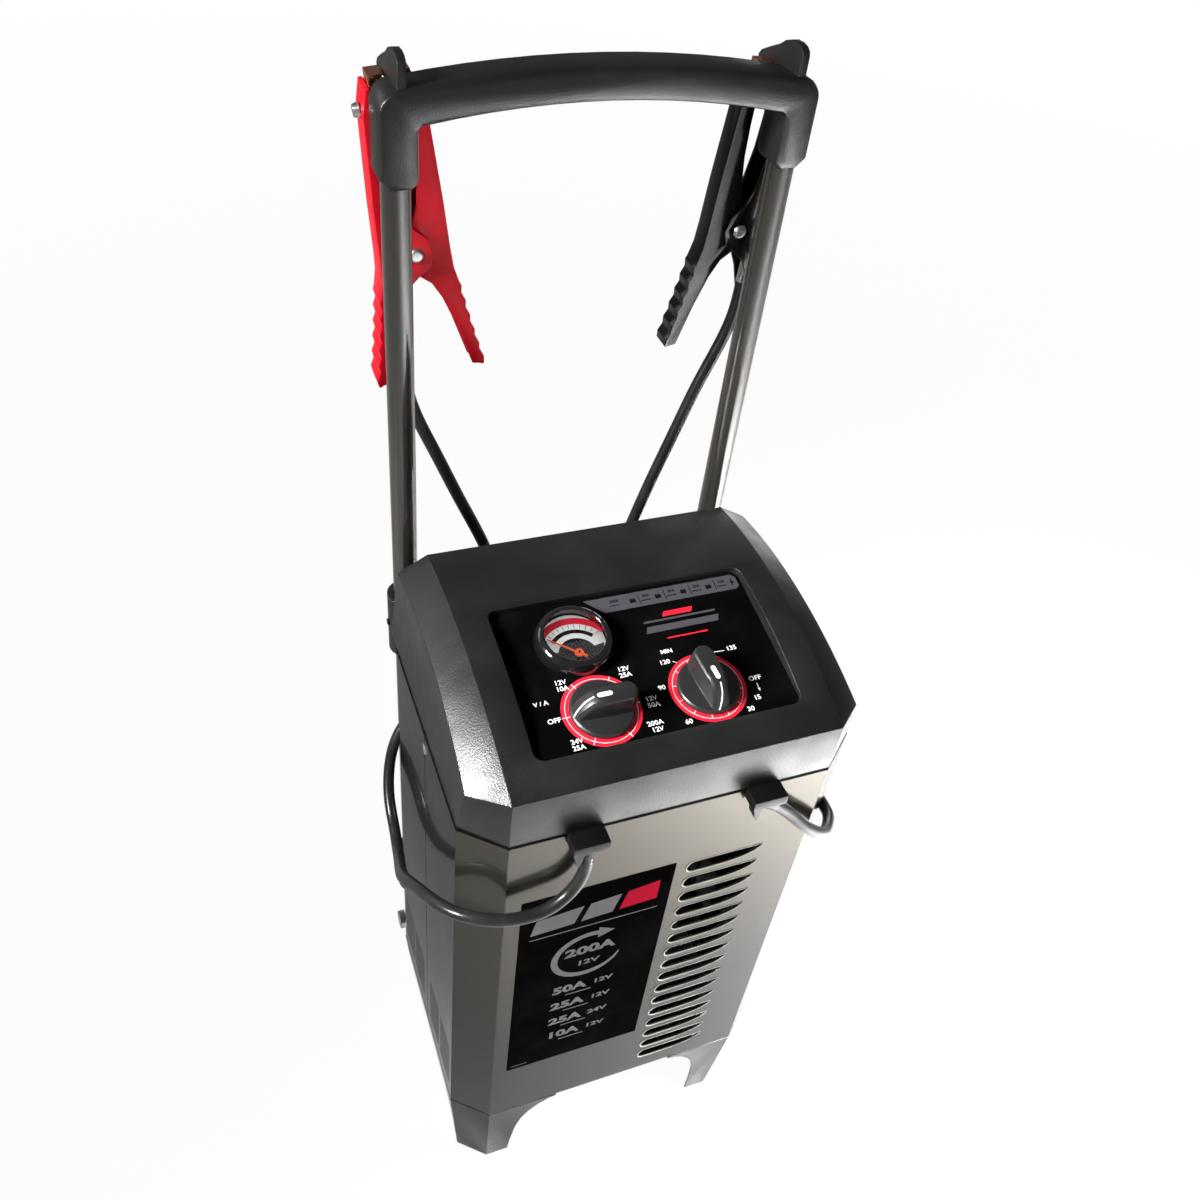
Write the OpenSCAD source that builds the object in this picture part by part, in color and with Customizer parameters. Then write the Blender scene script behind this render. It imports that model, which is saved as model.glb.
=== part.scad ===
// Wheeled battery charger: sheet-metal body, moulded top cover, tube handle, two clamp leads.
// Depth is measured from the front panel, height from the floor.

/* [Body] */
// Width across the body shells
body_w = 286; // [276:1:296]
// Depth of the body from the front panel to the rear panel
body_d = 193; // [186:1:200]
// Width of the flat front panel between the corner chamfers
front_face_w = 230; // [222:1:240]
// Depth of the corner chamfers
chamfer_d = 24; // [18:1:30]
// Height of the lower edge of the shells
body_z0 = 110; // [104:1:116]
// Height of the upper edge of the shells
body_z1 = 508; // [500:1:516]
// Thickness of the sheet
sheet_t = 1.5; // [1:0.1:2]
// Depth of the upright seam between the two shells
seam_y = 104; // [98:1:110]
// Width of the open seam line
seam_gap = 1.4; // [0.8:0.1:2]
// Radius of the rear corners
rear_r = 8; // [5:1:12]
// Width of the folded flanges
flange_w = 12; // [9:1:14]

/* [Louvres] */
// Number of front louvres
louvre_n = 16; // [8:1:16]
// Length of a louvre
louvre_l = 60; // [50:1:66]
// Height of a louvre opening
louvre_h = 12.5; // [9:0.5:14]
// Step from louvre to louvre
louvre_pitch = 19.4; // [18:0.1:20]
// Distance from the centre line to the louvres
louvre_x = 20; // [16:1:26]
// Height of the lowest louvre above the lower edge of the shell
louvre_up = 32; // [26:1:40]
// Slope of the louvre blades into the body
louvre_tilt = 36; // [25:1:45]
// Height of a side vent slot
slot_h = 2.2; // [1.6:0.1:3]
// Step from slot to slot
slot_pitch = 5; // [4:0.5:6]
// Slots in one column
slot_n = 13; // [6:1:14]

/* [Front label] */
// Width of the label
label_w = 114; // [100:1:118]
// Height of the label
label_h = 250; // [220:1:260]
// Distance of the label's middle from the centre line
label_x = 46; // [42:1:48]
// Height of the label's lower edge above the lower edge of the shell
label_up = 77; // [70:1:90]

/* [Top cover] */
// Wall of the cover
cover_t = 3; // [2.4:0.1:3.6]
// Height of the arch over the upper edge of the shells
cover_rise = 74; // [70:1:80]
// Radius of the arch, seen from the side
arch_r = 340; // [320:5:360]
// Depth at which the arch is highest
arch_y = 145; // [140:1:150]
// Overhang of the cover behind the rear panel
cover_over = 13; // [8:1:16]
// Drop of the side bevels
bevel_drop = 13.5; // [10:0.5:16]
// Lean of the cover's sides, in degrees
side_lean = 6; // [4:0.5:8]

/* [Control panel] */
// Width of the panel
panel_w = 187; // [180:1:192]
// Length of the panel up the slope
panel_l = 115; // [112:1:118]
// Slope of the panel, in degrees
panel_tilt = 10; // [8:0.5:12]
// Depth of the panel's lower edge behind the front panel
panel_y = 22; // [20:1:26]
// Drop of the panel's lower edge below the arch
panel_drop = 2.2; // [1.5:0.1:4]
// Radius of the panel's corners
panel_r = 7; // [4:1:10]
// Thickness of the panel
panel_t = 2; // [1.5:0.1:2.5]
// Distance of the selector from the centre line
selector_x = -40.5; // [-44:0.5:-38]
// Distance of the timer from the centre line
timer_x = 35; // [32:0.5:40]
// Distance of both knobs up the slope
knob_s = 27; // [26:0.5:32]
// Distance of the meter from the centre line
meter_x = -42; // [-46:0.5:-40]
// Distance of the meter up the slope
meter_s = 81; // [80:0.5:83]

/* [Knobs and meter] */
// Diameter of a knob's skirt
knob_d = 43; // [38:1:46]
// Height of a knob's bar over the panel
knob_h = 20; // [16:1:24]
// Width of a knob's bar
knob_bar = 14; // [11:1:17]
// Diameter of the switch shafts
shaft_d = 6; // [5:0.5:8]
// Diameter of the meter's bezel
bezel_d = 54; // [50:1:56]
// Diameter of the meter's glass
glass_d = 41; // [38:1:43]

/* [Handle] */
// Diameter of the handle tubes
tube_d = 18; // [16:1:20]
// Wall of the handle tubes
tube_t = 1.5; // [1.2:0.1:2.5]
// Distance of the tubes from the centre line
tube_x = 124; // [122:1:126]
// Depth of the tubes' centres
tube_y = 237; // [234:1:240]
// Height of the grip's highest point
grip_z = 896; // [890:1:900]
// Height of the grip's lower ends
grip_z0 = 831; // [826:1:836]
// Width across the grip
grip_w = 270; // [266:1:274]
// Depth of the grip
grip_d = 28; // [26:1:30]
// Width of the grip's legs
leg_w = 22.5; // [21:0.5:23.5]
// Thickness of the hanger fins
fin_t = 5; // [4:0.5:6]
// Reach of the fins behind the grip
fin_reach = 29; // [26:1:31]

/* [Wheels] */
// Diameter of the wheels
wheel_d = 120; // [112:1:124]
// Width of the wheels
wheel_w = 28; // [24:1:29]
// Distance of the wheels' middles from the centre line
wheel_x = 99; // [98:1:99]
// Diameter of the axle
axle_d = 10; // [8:1:12]

/* [Clamps] */
// Height of the clamps from pivot to jaw tips
jaw_up = 108; // [104:1:112]
// Length of the handles below the pivot
handle_dn = 88; // [80:1:94]
// Width of a fixed arm's channel
arm_w = 21; // [20:1:22]
// Wall of the clamp arms
arm_t = 2.4; // [2:0.1:2.8]
// Tilt of the red clamp, in degrees
red_tilt = 6.8; // [5:0.2:8]
// Tilt of the black clamp, in degrees
black_tilt = 3.4; // [2:0.2:6]

/* [Leads] */
// Diameter of the clamp leads
cable_d = 9; // [8:0.5:9]

/* [Hidden] */
$fn = 48;

// Clearances: running fit, seated fit, and room between faces on different bodies
run = 0.1;
seat = 0.2;
free = 0.3;
big = 400;

// Body
body_x = body_w / 2;
face_x = front_face_w / 2;
body_h = body_z1 - body_z0;
lip_h = 18;
lip_t = 2;
notch_w = 26;
notch_h = 9;
lead_x = 64;

// Strain reliefs and the overall depth: the origin lies under the middle of the bounding box
relief_out = 14;
relief_in = 10;
relief_h = 16;
rear_reach = tube_y + wheel_d / 2;
front_y = -(rear_reach - relief_out) / 2;

// Cover
cover_x = body_x - 0.5;
arch_z = body_z1 + cover_rise - arch_r;
crease_x = face_x;
edge_x = cover_x - 4.5;
lean_h = 120;

// Panel frame: the origin is the middle of the panel's lower edge, on its upper face
panel_z = arch_z + sqrt(arch_r * arch_r - (arch_y - panel_y) * (arch_y - panel_y)) - panel_drop;
rim = 2.5;
ledge = 5;
switch_d = 42;
switch_l = 26;
bush_d = 10;
nut_w = 13;
nut_t = 2;
meter_d = 48;
meter_l = 24;
dial_t = 0.8;
lens_t = 1.2;
lens_up = 8.5;
bezel_t = 11;
needle_up = 4.5;
needle_drop = 11;

// Handle and wheels
axle_z = wheel_d / 2;
grip_x = grip_w / 2;
grip_y0 = tube_y - 13;
corner_r = 12;
under_fillet = 3;
top_r = 750;
under_r = 598;
under_z = grip_z - 19.6;
socket_z = grip_z0 + 36;
fin_x = 121;
fin_top = grip_z + 7;
clamp_y = grip_y0 + grip_d + 14;
jaw_z = grip_z - 12;
bracket_h = 56;
bracket_z = [128, 459];
bracket_wrap = 5;
tyre_t = 14;
tube_foot = 22;

function on_arc(r, a) = [r * cos(a), r * sin(a)];
function reversed(p) = [for (i = [len(p) - 1:-1:0]) p[i]];
function mirror_x(p) = [for (i = [len(p) - 1:-1:0]) [-p[i][0], p[i][1]]];

module place() translate([0, front_y, 0]) children();

module both_sides() {
    children();
    mirror([1, 0, 0]) children();
}

// Moves children from the panel's own frame to the body's: x across, y up the slope, z outward
module on_panel() translate([0, panel_y, panel_z]) rotate([panel_tilt, 0, 0]) children();

// Extrudes an outline drawn in depth and height across the body
module across(x0, x1) translate([x0, 0, 0]) rotate([90, 0, 90]) linear_extrude(x1 - x0) children();

// Extrudes an outline drawn in width and height from one depth to another
module along(y0, y1) translate([0, y1, 0]) rotate([90, 0, 0]) linear_extrude(y1 - y0) children();

// Solid through closed loops of the same even number of points, counter-clockwise and rising.
// The ends are closed by strips that join the first point to the last, the second to the one before it.
module skin(loops) {
    n = len(loops[0]);
    m = len(loops);
    sides = [for (i = [0:m - 2]) for (j = [0:n - 1]) each [
        [i * n + j, (i + 1) * n + j, (i + 1) * n + (j + 1) % n],
        [i * n + j, (i + 1) * n + (j + 1) % n, i * n + (j + 1) % n]]];
    low = [for (j = [0:n / 2 - 2]) [j, j + 1, n - 2 - j, n - 1 - j]];
    high = [for (q = low) [for (k = [3:-1:0]) (m - 1) * n + q[k]]];
    polyhedron(points = [for (l = loops) each l], faces = concat(sides, low, high));
}

// ---------- body shells ----------

// Plan outline of the body, drawn in by a distance
function body_plan(o) = let (r = max(rear_r - o, 1), xr = body_x - o - r, yr = body_d - o - r) [
    [-body_x + o, chamfer_d + o * 0.45], [-face_x + o * 0.35, o], [face_x - o * 0.35, o],
    [body_x - o, chamfer_d + o * 0.45],
    for (a = [0:15:90]) [xr, yr] + on_arc(r, a),
    for (a = [90:15:180]) [-xr, yr] + on_arc(r, a)];

module plan_ring(o, t) difference() {
    polygon(body_plan(o));
    polygon(body_plan(o + t));
}

module plan_band(y0, y1) translate([-big / 2, y0]) square([big, y1 - y0]);

// Louvre outline: round left end, straight upper edge, lower edge rising to a point
module louvre_outline(grow = 0) {
    r = louvre_h / 2 + grow;
    u0 = louvre_l * 0.45;
    u1 = louvre_l + 2 * grow;
    polygon(concat(
        [for (a = [90:15:270]) [louvre_h / 2 + r * cos(a), -louvre_h / 2 + r * sin(a)]],
        [for (a = [0:10:90]) [u0 + (u1 - u0) * sin(a), grow - 2 * r * cos(a)]]));
}

module louvre_places() for (i = [0:louvre_n - 1])
    translate([louvre_x, 0, body_z0 + louvre_up + i * louvre_pitch]) children();

module vent_slots(y0, y1) for (i = [0:slot_n - 1])
    translate([-body_x - 5, y0, body_z0 + 20 + i * slot_pitch]) cube([10, y1 - y0, slot_h]);

module shell_screw_places() both_sides()
    translate([-body_x, seam_y - 5, body_z1 - 10]) rotate([0, -90, 0]) children();

module front_shell() color([0.34, 0.33, 0.31]) place() {
    difference() {
        union() {
            translate([0, 0, body_z0]) linear_extrude(body_h) intersection() {
                plan_ring(0, sheet_t);
                plan_band(-1, seam_y - seam_gap / 2);
            }
            // folded lower flange that stands on the base frame
            translate([0, 0, body_z0]) linear_extrude(sheet_t) intersection() {
                plan_ring(sheet_t / 2, flange_w);
                plan_band(-1, seam_y - 16);
            }
        }
        louvre_places() along(-1, sheet_t + 1) louvre_outline();
        both_sides() {
            vent_slots(30, 60);
            vent_slots(64, 94);
        }
        for (s = [-1, 1]) translate([s * lead_x - notch_w / 2, -1, body_z1 - notch_h])
            cube([notch_w, sheet_t + 2, notch_h + 1]);
        shell_screw_places() translate([0, 0, -5]) cylinder(d = 4.4, h = 10, $fn = 24);
        foot_bolt_places() cylinder(d = bolt_d + 2 * seat, h = 12, $fn = 24);
    }
    // pressed blades, hinged on the straight upper edge and sloping into the body
    louvre_places() translate([0, sheet_t, 0]) rotate([louvre_tilt, 0, 0])
        along(-1, 0) louvre_outline(0.6);
}

module rear_shell() color([0.34, 0.33, 0.31]) place() difference() {
    union() {
        translate([0, 0, body_z0]) linear_extrude(body_h) intersection() {
            plan_ring(0, sheet_t);
            plan_band(seam_y + seam_gap / 2, body_d + 1);
        }
        // joggled edge that tucks behind the front shell
        translate([0, 0, body_z0 + 4]) linear_extrude(body_h - lip_h - 6) {
            intersection() {
                plan_ring(sheet_t + run, sheet_t);
                plan_band(seam_y - 10, seam_y + 6);
            }
            intersection() {
                plan_ring(sheet_t / 2, sheet_t);
                plan_band(seam_y + 2, seam_y + 6);
            }
        }
        translate([0, 0, body_z0]) linear_extrude(sheet_t) intersection() {
            plan_ring(sheet_t / 2, flange_w);
            plan_band(seam_y + 16, body_d + 1);
        }
    }
    both_sides() {
        vent_slots(114, 146);
        vent_slots(150, 182);
    }
    // rear vents
    for (i = [0:9]) for (x = [-80, 20]) translate([x, body_d - 5, body_z0 + 250 + i * 8])
        cube([60, 10, 3]);
    translate([gland_x, body_d - 5, body_z0 + 40]) rotate([-90, 0, 0]) cylinder(d = 16, h = 10);
    foot_bolt_places() cylinder(d = bolt_d + 2 * seat, h = 12, $fn = 24);
    both_sides() for (z = bracket_z) panel_bolt_hole(z);
}

// ---------- base ----------

tray_t = 2;
arm_x = 72;
arm_plate = 3;
bolt_d = 5;
foot_taper = 8.4;
foot_h = body_z0 - tray_t;
foot_in = 54;
foot_flange = 14;

// Bolts that hold feet, base frame and shells together: positions across and in depth
foot_bolt_at = [[84, 7], [body_x - 8, 120]];

module foot_bolt_places() both_sides()
    for (p = foot_bolt_at) translate([p[0], p[1], body_z0 - tray_t - sheet_t]) children();

module base_frame() color([0.08, 0.08, 0.085]) place() difference() {
    union() {
        translate([0, 0, body_z0 - tray_t]) linear_extrude(tray_t) polygon(body_plan(0.5));
        both_sides() across(arm_x, arm_x + arm_plate) hull() {
            translate([130, body_z0 - tray_t - 8]) square([body_d - 132, 8.5]);
            translate([tube_y, axle_z]) circle(r = axle_d / 2 + 9);
        }
    }
    translate([-big / 2, tube_y, axle_z]) rotate([0, 90, 0]) cylinder(d = axle_d + 2 * seat, h = big);
    foot_bolt_places() cylinder(d = bolt_d + 2 * seat, h = 12, $fn = 24);
    // air slots under the transformer
    for (x = [-50:20:50]) translate([x - 4, 60, body_z0 - 10]) cube([8, 80, 20]);
}

// Wall of the right foot in plan, drawn in by a distance as it tapers to the floor
function foot_plan(o, z) = [for (p = concat(
    [[foot_in, o], [face_x - 0.35 * o, o], [body_x - o, chamfer_d + 0.45 * o], [body_x - o, body_d - 3]],
    [[body_x - o - sheet_t, body_d - 3], [body_x - o - sheet_t, chamfer_d + 0.45 * o + 0.5],
        [face_x - 0.35 * o - 0.5, o + sheet_t], [foot_in, o + sheet_t]])) [p[0], p[1], z]];

module foot() difference() {
    union() {
        skin([for (z = [-3, foot_h + 3]) foot_plan(foot_taper * (1 - z / foot_h), z)]);
        translate([0, 0, body_z0 - tray_t - sheet_t]) linear_extrude(2 * sheet_t) intersection() {
            plan_ring(1, foot_flange);
            translate([foot_in + 2, -1]) square([big, body_d - foot_flange - 6]);
        }
    }
    translate([0, -5, foot_h]) cube([big, big, 20]);
    translate([0, -5, -20]) cube([big, big, 20]);
    // inner edge of the leg, seen from the front
    along(-5, 60) polygon([[foot_in - 5, -5], [92, -5], [91, 20], [88, 55], [84, 74], [78, 87],
        [70, 97], [60, 104], [foot_in - 5, 106]]);
    // lower edge of the side, seen from the side
    across(foot_in - 5, big) polygon([[31, -5], [33, 30], [38, 54], [46, 70], [58, 78], [70, 80],
        [body_d + 5, 80], [body_d + 5, -5]]);
    foot_bolt_places() translate([0, 0, -1]) cylinder(d = bolt_d + 2 * seat, h = 5, $fn = 24);
}

module left_foot() color([0.34, 0.33, 0.31]) place() mirror([1, 0, 0]) foot();
module right_foot() color([0.34, 0.33, 0.31]) place() foot();

module foot_bolts() color("silver") place() foot_bolt_places() {
    translate([0, 0, -4]) cylinder(d = 8.6, h = 4, $fn = 6);
    translate([0, 0, -1]) cylinder(d = bolt_d, h = 11, $fn = 24);
    translate([0, 0, tray_t + 2 * sheet_t]) cylinder(d = 8.6, h = 4, $fn = 6);
}

// ---------- top cover ----------

function cover_plan(o) = [
    [-cover_x + o, chamfer_d + 0.45 * o], [-face_x + 0.35 * o, o], [face_x - 0.35 * o, o],
    [cover_x - o, chamfer_d + 0.45 * o], [cover_x - o, body_d + cover_over - o],
    [-cover_x + o, body_d + cover_over - o]];

// Space under the arched, bevelled and leaning skin of the cover, drawn in by a distance
module cover_space(o) intersection() {
    translate([0, 0, body_z1 - (o > 0 ? 1 : 0)]) linear_extrude(cover_rise + 20) polygon(cover_plan(o));
    along(-10, body_d + 40) polygon([
        [-cover_x + o, body_z1 - 2], [cover_x - o, body_z1 - 2],
        [cover_x - o - lean_h * tan(side_lean), body_z1 + lean_h],
        [-cover_x + o + lean_h * tan(side_lean), body_z1 + lean_h]]);
    translate([0, arch_y, arch_z]) rotate([0, 90, 0]) rotate_extrude($fn = 96) let (
        w = body_x + 20,
        rb = arch_r - o - bevel_drop * (w - crease_x) / (edge_x - crease_x))
        polygon([[0, -w], [rb, -w], [arch_r - o, -crease_x], [arch_r - o, crease_x], [rb, w], [0, w]]);
}

// Panel outline with round corners, grown by a distance
module panel_outline(g) let (r = panel_r + g, w = panel_w / 2 - panel_r)
    polygon([for (c = [[w, panel_r, -90], [w, panel_l - panel_r, 0], [-w, panel_l - panel_r, 90],
        [-w, panel_r, 180]]) for (a = [0:15:90]) [c[0], c[1]] + on_arc(r, c[2] + a)]);

module top_cover() color([0.13, 0.13, 0.13]) place() {
    difference() {
        union() {
            difference() {
                cover_space(0);
                cover_space(cover_t);
            }
            // rim that rests on the shells, and the lip that drops inside them
            translate([0, 0, body_z1]) linear_extrude(cover_t) difference() {
                polygon(cover_plan(0.5));
                polygon(body_plan(sheet_t + seat + lip_t));
            }
            translate([0, 0, body_z1 - lip_h]) linear_extrude(lip_h + 1)
                plan_ring(sheet_t + seat, lip_t);
            // tub around the control panel
            intersection() {
                cover_space(0.6);
                on_panel() translate([0, 0, -panel_t - rim]) linear_extrude(30) panel_outline(rim);
            }
        }
        on_panel() {
            translate([0, 0, -panel_t]) linear_extrude(40) panel_outline(seat);
            translate([0, 0, -30]) linear_extrude(60) panel_outline(-ledge);
        }
        for (s = [-1, 1]) translate([s * lead_x - notch_w / 2, -1, body_z1 - lip_h - 1])
            cube([notch_w, 20, lip_h + 1]);
        shell_screw_places() translate([0, 0, -6]) cylinder(d = 3.4, h = 10, $fn = 24);
    }
}

module shell_screws() color("silver") place() shell_screw_places() {
    cylinder(d = 8, h = 1.6, $fn = 32);
    translate([0, 0, -5]) cylinder(d = 3, h = 6, $fn = 24);
}

module front_label() color([0.03, 0.03, 0.03]) place()
    translate([-label_x - label_w / 2, -0.4, body_z0 + label_up]) cube([label_w, 0.4, label_h]);

module control_panel() color([0.03, 0.03, 0.03]) place() on_panel() difference() {
    translate([0, 0, -panel_t]) linear_extrude(panel_t) panel_outline(0);
    for (x = [selector_x, timer_x]) translate([x, knob_s, -10])
        cylinder(d = bush_d + 2 * seat, h = 20, $fn = 32);
    translate([meter_x, meter_s, -10]) cylinder(d = meter_d + 2 * seat, h = 20);
}

// ---------- meter ----------

module on_meter() place() on_panel() translate([meter_x, meter_s, 0]) children();

module meter_body() color([0.1, 0.1, 0.1]) on_meter() {
    translate([0, 0, -meter_l]) cylinder(d = meter_d, h = meter_l + 1);
    // needle pin and the two terminal studs
    translate([0, -needle_drop, 0]) cylinder(d = 1.4, h = needle_up + 2, $fn = 24);
    for (x = [-9, 9]) translate([x, 0, -meter_l - 8]) cylinder(d = 4, h = 9, $fn = 24);
}

module meter_dial() color("white") on_meter() translate([0, 0, 1]) difference() {
    cylinder(r = glass_d / 2 + 1.2, h = dial_t);
    translate([0, -needle_drop, -1]) cylinder(d = 3, h = 4, $fn = 24);
}

module meter_needle() color([0.85, 0.2, 0.1]) on_meter()
    translate([0, -needle_drop, needle_up - 1]) rotate(needle_rest) difference() {
        union() {
            cylinder(d = 6, h = 1.6, $fn = 32);
            translate([0, 0, 0.5]) linear_extrude(0.6)
                polygon([[-6, -1.2], [0, -0.8], [glass_d / 2 + 2.5, -0.3], [glass_d / 2 + 2.5, 0.3],
                    [0, 0.8], [-6, 1.2]]);
        }
        translate([0, 0, -1]) cylinder(d = 1.4 + 2 * run, h = 4, $fn = 24);
    }

module meter_lens() color([0.8, 0.85, 0.9, 0.4]) on_meter()
    translate([0, 0, lens_up]) cylinder(r = glass_d / 2 + 1.5, h = lens_t);

// Bezel: domed ring with a shoulder that holds the lens
module meter_bezel() color([0.05, 0.05, 0.05]) on_meter() rotate_extrude($fn = 96) let (
    ro = bezel_d / 2, rg = glass_d / 2, rc = glass_d / 2 + 1.7, rb = meter_d / 2 + seat)
    polygon(concat(
        [[rb, 0], [ro, 0], [ro, 2.5]],
        [for (a = [15:15:90]) [ro - (ro - rg - 0.8) * (1 - cos(a)), 2.5 + (bezel_t - 2.5) * sin(a)]],
        [[rg, bezel_t - 0.6], [rg, lens_up + lens_t], [rc, lens_up + lens_t], [rc, 2], [rb, 2]]));

// ---------- knobs and switches ----------

knob_gap = 0.6;
skirt_h = 4;
recess_d = 17;
recess_h = 3.4;
needle_rest = 140;
selector_rest = 180;
timer_rest = -85;
switch_r = 3;

// Outline of a knob's bar at a share t of its height: round tail, nose drawn back as it rises
function bar_loop(t, inset) = let (
    z = skirt_h - 1 + (knob_h - skirt_h + 1) * t,
    w = knob_bar / 2 + 0.8 * (1 - t) - inset,
    tail = -knob_d / 2 - 1.5 + w + inset + 1.5 * t,
    nose = knob_d / 2 - 1 - (knob_d / 2 - 9) * pow(t, 1.6) - inset)
    concat([for (a = [90:15:270]) [tail + w * cos(a), w * sin(a), z]],
        [[0, -w, z], [nose - 3, -w * 0.86, z], [nose - 0.6, -w * 0.55, z], [nose, 0, z],
            [nose - 0.6, w * 0.55, z], [nose - 3, w * 0.86, z], [0, w, z]]);

// Knob with its moulded-in shaft, pointing along +X, seated just above the panel
module knob() difference() {
    union() {
        translate([0, 0, knob_gap]) cylinder(d = knob_d, h = skirt_h - 1.2 - knob_gap, $fn = 96);
        translate([0, 0, skirt_h - 1.2]) cylinder(d1 = knob_d, d2 = knob_d - 2.4, h = 1.2, $fn = 96);
        skin([for (t = [0:0.2:0.8]) bar_loop(t, 0), bar_loop(0.93, 0.2), bar_loop(1, 1.4)]);
        translate([0, 0, -panel_t - 6]) cylinder(d = shaft_d, h = panel_t + 12, $fn = 32);
    }
    difference() {
        translate([0, 0, -1]) cylinder(d = recess_d, h = recess_h + 1);
        translate([0, 0, -2]) cylinder(d = shaft_d, h = recess_h + 3, $fn = 32);
    }
}

module selector_knob() color([0.09, 0.09, 0.09]) place() on_panel()
    translate([selector_x, knob_s, 0]) rotate(selector_rest) knob();

module timer_knob() color([0.09, 0.09, 0.09]) place() on_panel()
    translate([timer_x, knob_s, 0]) rotate(timer_rest) knob();

// Threaded bush that carries a shaft through the panel
module bush() difference() {
    translate([0, 0, -panel_t - 1]) cylinder(d = bush_d, h = panel_t + nut_t + 1.6, $fn = 32);
    translate([0, 0, -panel_t - 8]) cylinder(d = shaft_d + 2 * run, h = panel_t + 14, $fn = 32);
}

module selector_switch() color([0.25, 0.22, 0.18]) place() on_panel()
    translate([selector_x, knob_s, 0]) {
        bush();
        difference() {
            translate([0, 0, -panel_t - switch_l]) linear_extrude(switch_l)
                offset(r = switch_r) square(switch_d - 2 * switch_r, center = true);
            translate([0, 0, -panel_t - 7]) cylinder(d = shaft_d + 2 * run, h = 8, $fn = 32);
        }
        // blade terminals
        for (a = [0:60:300]) rotate(a) translate([switch_d / 2 - 8, -3, -panel_t - switch_l - 8])
            cube([1, 6, 9]);
    }

module timer_body() color([0.55, 0.55, 0.5]) place() on_panel() translate([timer_x, knob_s, 0]) {
    bush();
    difference() {
        translate([0, 0, -panel_t - switch_l - 6]) cylinder(d = switch_d + 1, h = switch_l + 6);
        translate([0, 0, -panel_t - 7]) cylinder(d = shaft_d + 2 * run, h = 8, $fn = 32);
    }
    for (x = [-10, 10]) translate([x - 3, 0, -panel_t - switch_l - 14]) cube([6, 1, 9]);
}

module shaft_nuts() color("silver") place() on_panel() for (x = [selector_x, timer_x])
    translate([x, knob_s, 0]) difference() {
        cylinder(d = nut_w + 1.5, h = nut_t, $fn = 6);
        translate([0, 0, -1]) cylinder(d = bush_d + 0.1, h = nut_t + 2, $fn = 32);
    }

// ---------- handle ----------

function top_z(x, o) = grip_z - top_r + sqrt(pow(top_r, 2) - x * x) - o;
function low_z(x, o) = under_z - under_r + sqrt(pow(under_r, 2) - x * x) + o;

// Outline of the grip seen from the front, drawn in by a distance, at one depth:
// over the outside from the right foot to the left one, and back along the inside
function grip_loop(o, y) = let (
    xc = grip_x - corner_r,
    zc = top_z(xc, 0) - corner_r,
    xf = grip_x - leg_w - under_fillet,
    zf = low_z(xf, 0) - under_fillet,
    xi = grip_x - leg_w + o,
    outer = concat([[grip_x - o - 6, grip_z0 + o], [grip_x - o, grip_z0 + 6 + o]],
        [for (a = [0:15:90]) [xc, zc] + on_arc(corner_r - o, a)],
        [for (i = [1:6]) let (x = xc - i * xc / 6) [x, top_z(x, o)]]),
    inner = concat([[xi + 4, grip_z0 + o], [xi, grip_z0 + 4 + o]],
        [for (a = [0:15:90]) [xf, zf] + on_arc(under_fillet + o, a)],
        [for (i = [1:6]) let (x = xf - i * xf / 6) [x, low_z(x, o)]]),
    last = len(outer) - 1)
    [for (p = concat(
        outer, mirror_x([for (i = [0:last - 1]) outer[i]]),
        mirror_x(reversed([for (i = [0:last - 1]) inner[i]])), reversed(inner))) [p[0], y, p[1]]];

fin_y = grip_y0 + 4;

// Hanger fin seen from the side: upright front end, round top, nose drooping behind the grip
module fin_outline() let (tip = grip_y0 + grip_d + fin_reach)
    polygon([[fin_y, fin_top - 26], [fin_y, fin_top - 5], [fin_y + 1.2, fin_top - 2.4],
        [fin_y + 4, fin_top - 0.8], [fin_y + 9, fin_top], [fin_y + 16, fin_top - 0.5],
        [fin_y + 23, fin_top - 3], [tip - 24, fin_top - 7], [tip - 13, fin_top - 12],
        [tip - 3, fin_top - 17], [tip, fin_top - 20.5], [tip - 1.6, fin_top - 23.5],
        [tip - 6, fin_top - 24.4], [tip - 17, fin_top - 22.4], [tip - 30, fin_top - 21.6]]);

module handle_grip() color([0.12, 0.12, 0.12]) place() difference() {
    union() {
        skin([grip_loop(3, grip_y0 + grip_d), grip_loop(0.9, grip_y0 + grip_d - 0.9),
            grip_loop(0, grip_y0 + grip_d - 3), grip_loop(0, grip_y0 + 4),
            grip_loop(1.2, grip_y0 + 1.2), grip_loop(4, grip_y0)]);
        both_sides() across(fin_x - fin_t / 2, fin_x + fin_t / 2) fin_outline();
    }
    both_sides() translate([tube_x, tube_y, grip_z0 - 1])
        cylinder(d = tube_d + 2 * seat, h = socket_z - grip_z0 + 1);
}

module tube() difference() {
    translate([tube_x, tube_y, tube_foot]) cylinder(d = tube_d, h = socket_z - free - tube_foot);
    translate([tube_x, tube_y, tube_foot - 1]) cylinder(d = tube_d - 2 * tube_t, h = big * 3);
    translate([0, tube_y, axle_z]) rotate([0, 90, 0]) cylinder(d = axle_d + 2 * seat, h = big);
    for (z = bracket_z) cross_bolt(z, bolt_d + 2 * seat);
}

module cross_bolt(z, d) translate([0, tube_y, z + bracket_h / 2]) rotate([0, 90, 0])
    cylinder(d = d, h = big, $fn = 24);

module left_tube() color([0.07, 0.07, 0.06]) place() mirror([1, 0, 0]) tube();
module right_tube() color([0.07, 0.07, 0.06]) place() tube();

wrap_r = tube_d / 2 + bracket_wrap;

// Hole for the bolt that holds a bracket to the rear panel
module panel_bolt_hole(z) translate([tube_x - 4, body_d - 5, z + 14]) rotate([-90, 0, 0])
    cylinder(d = bolt_d + 2 * seat, h = 18, $fn = 24);

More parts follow.
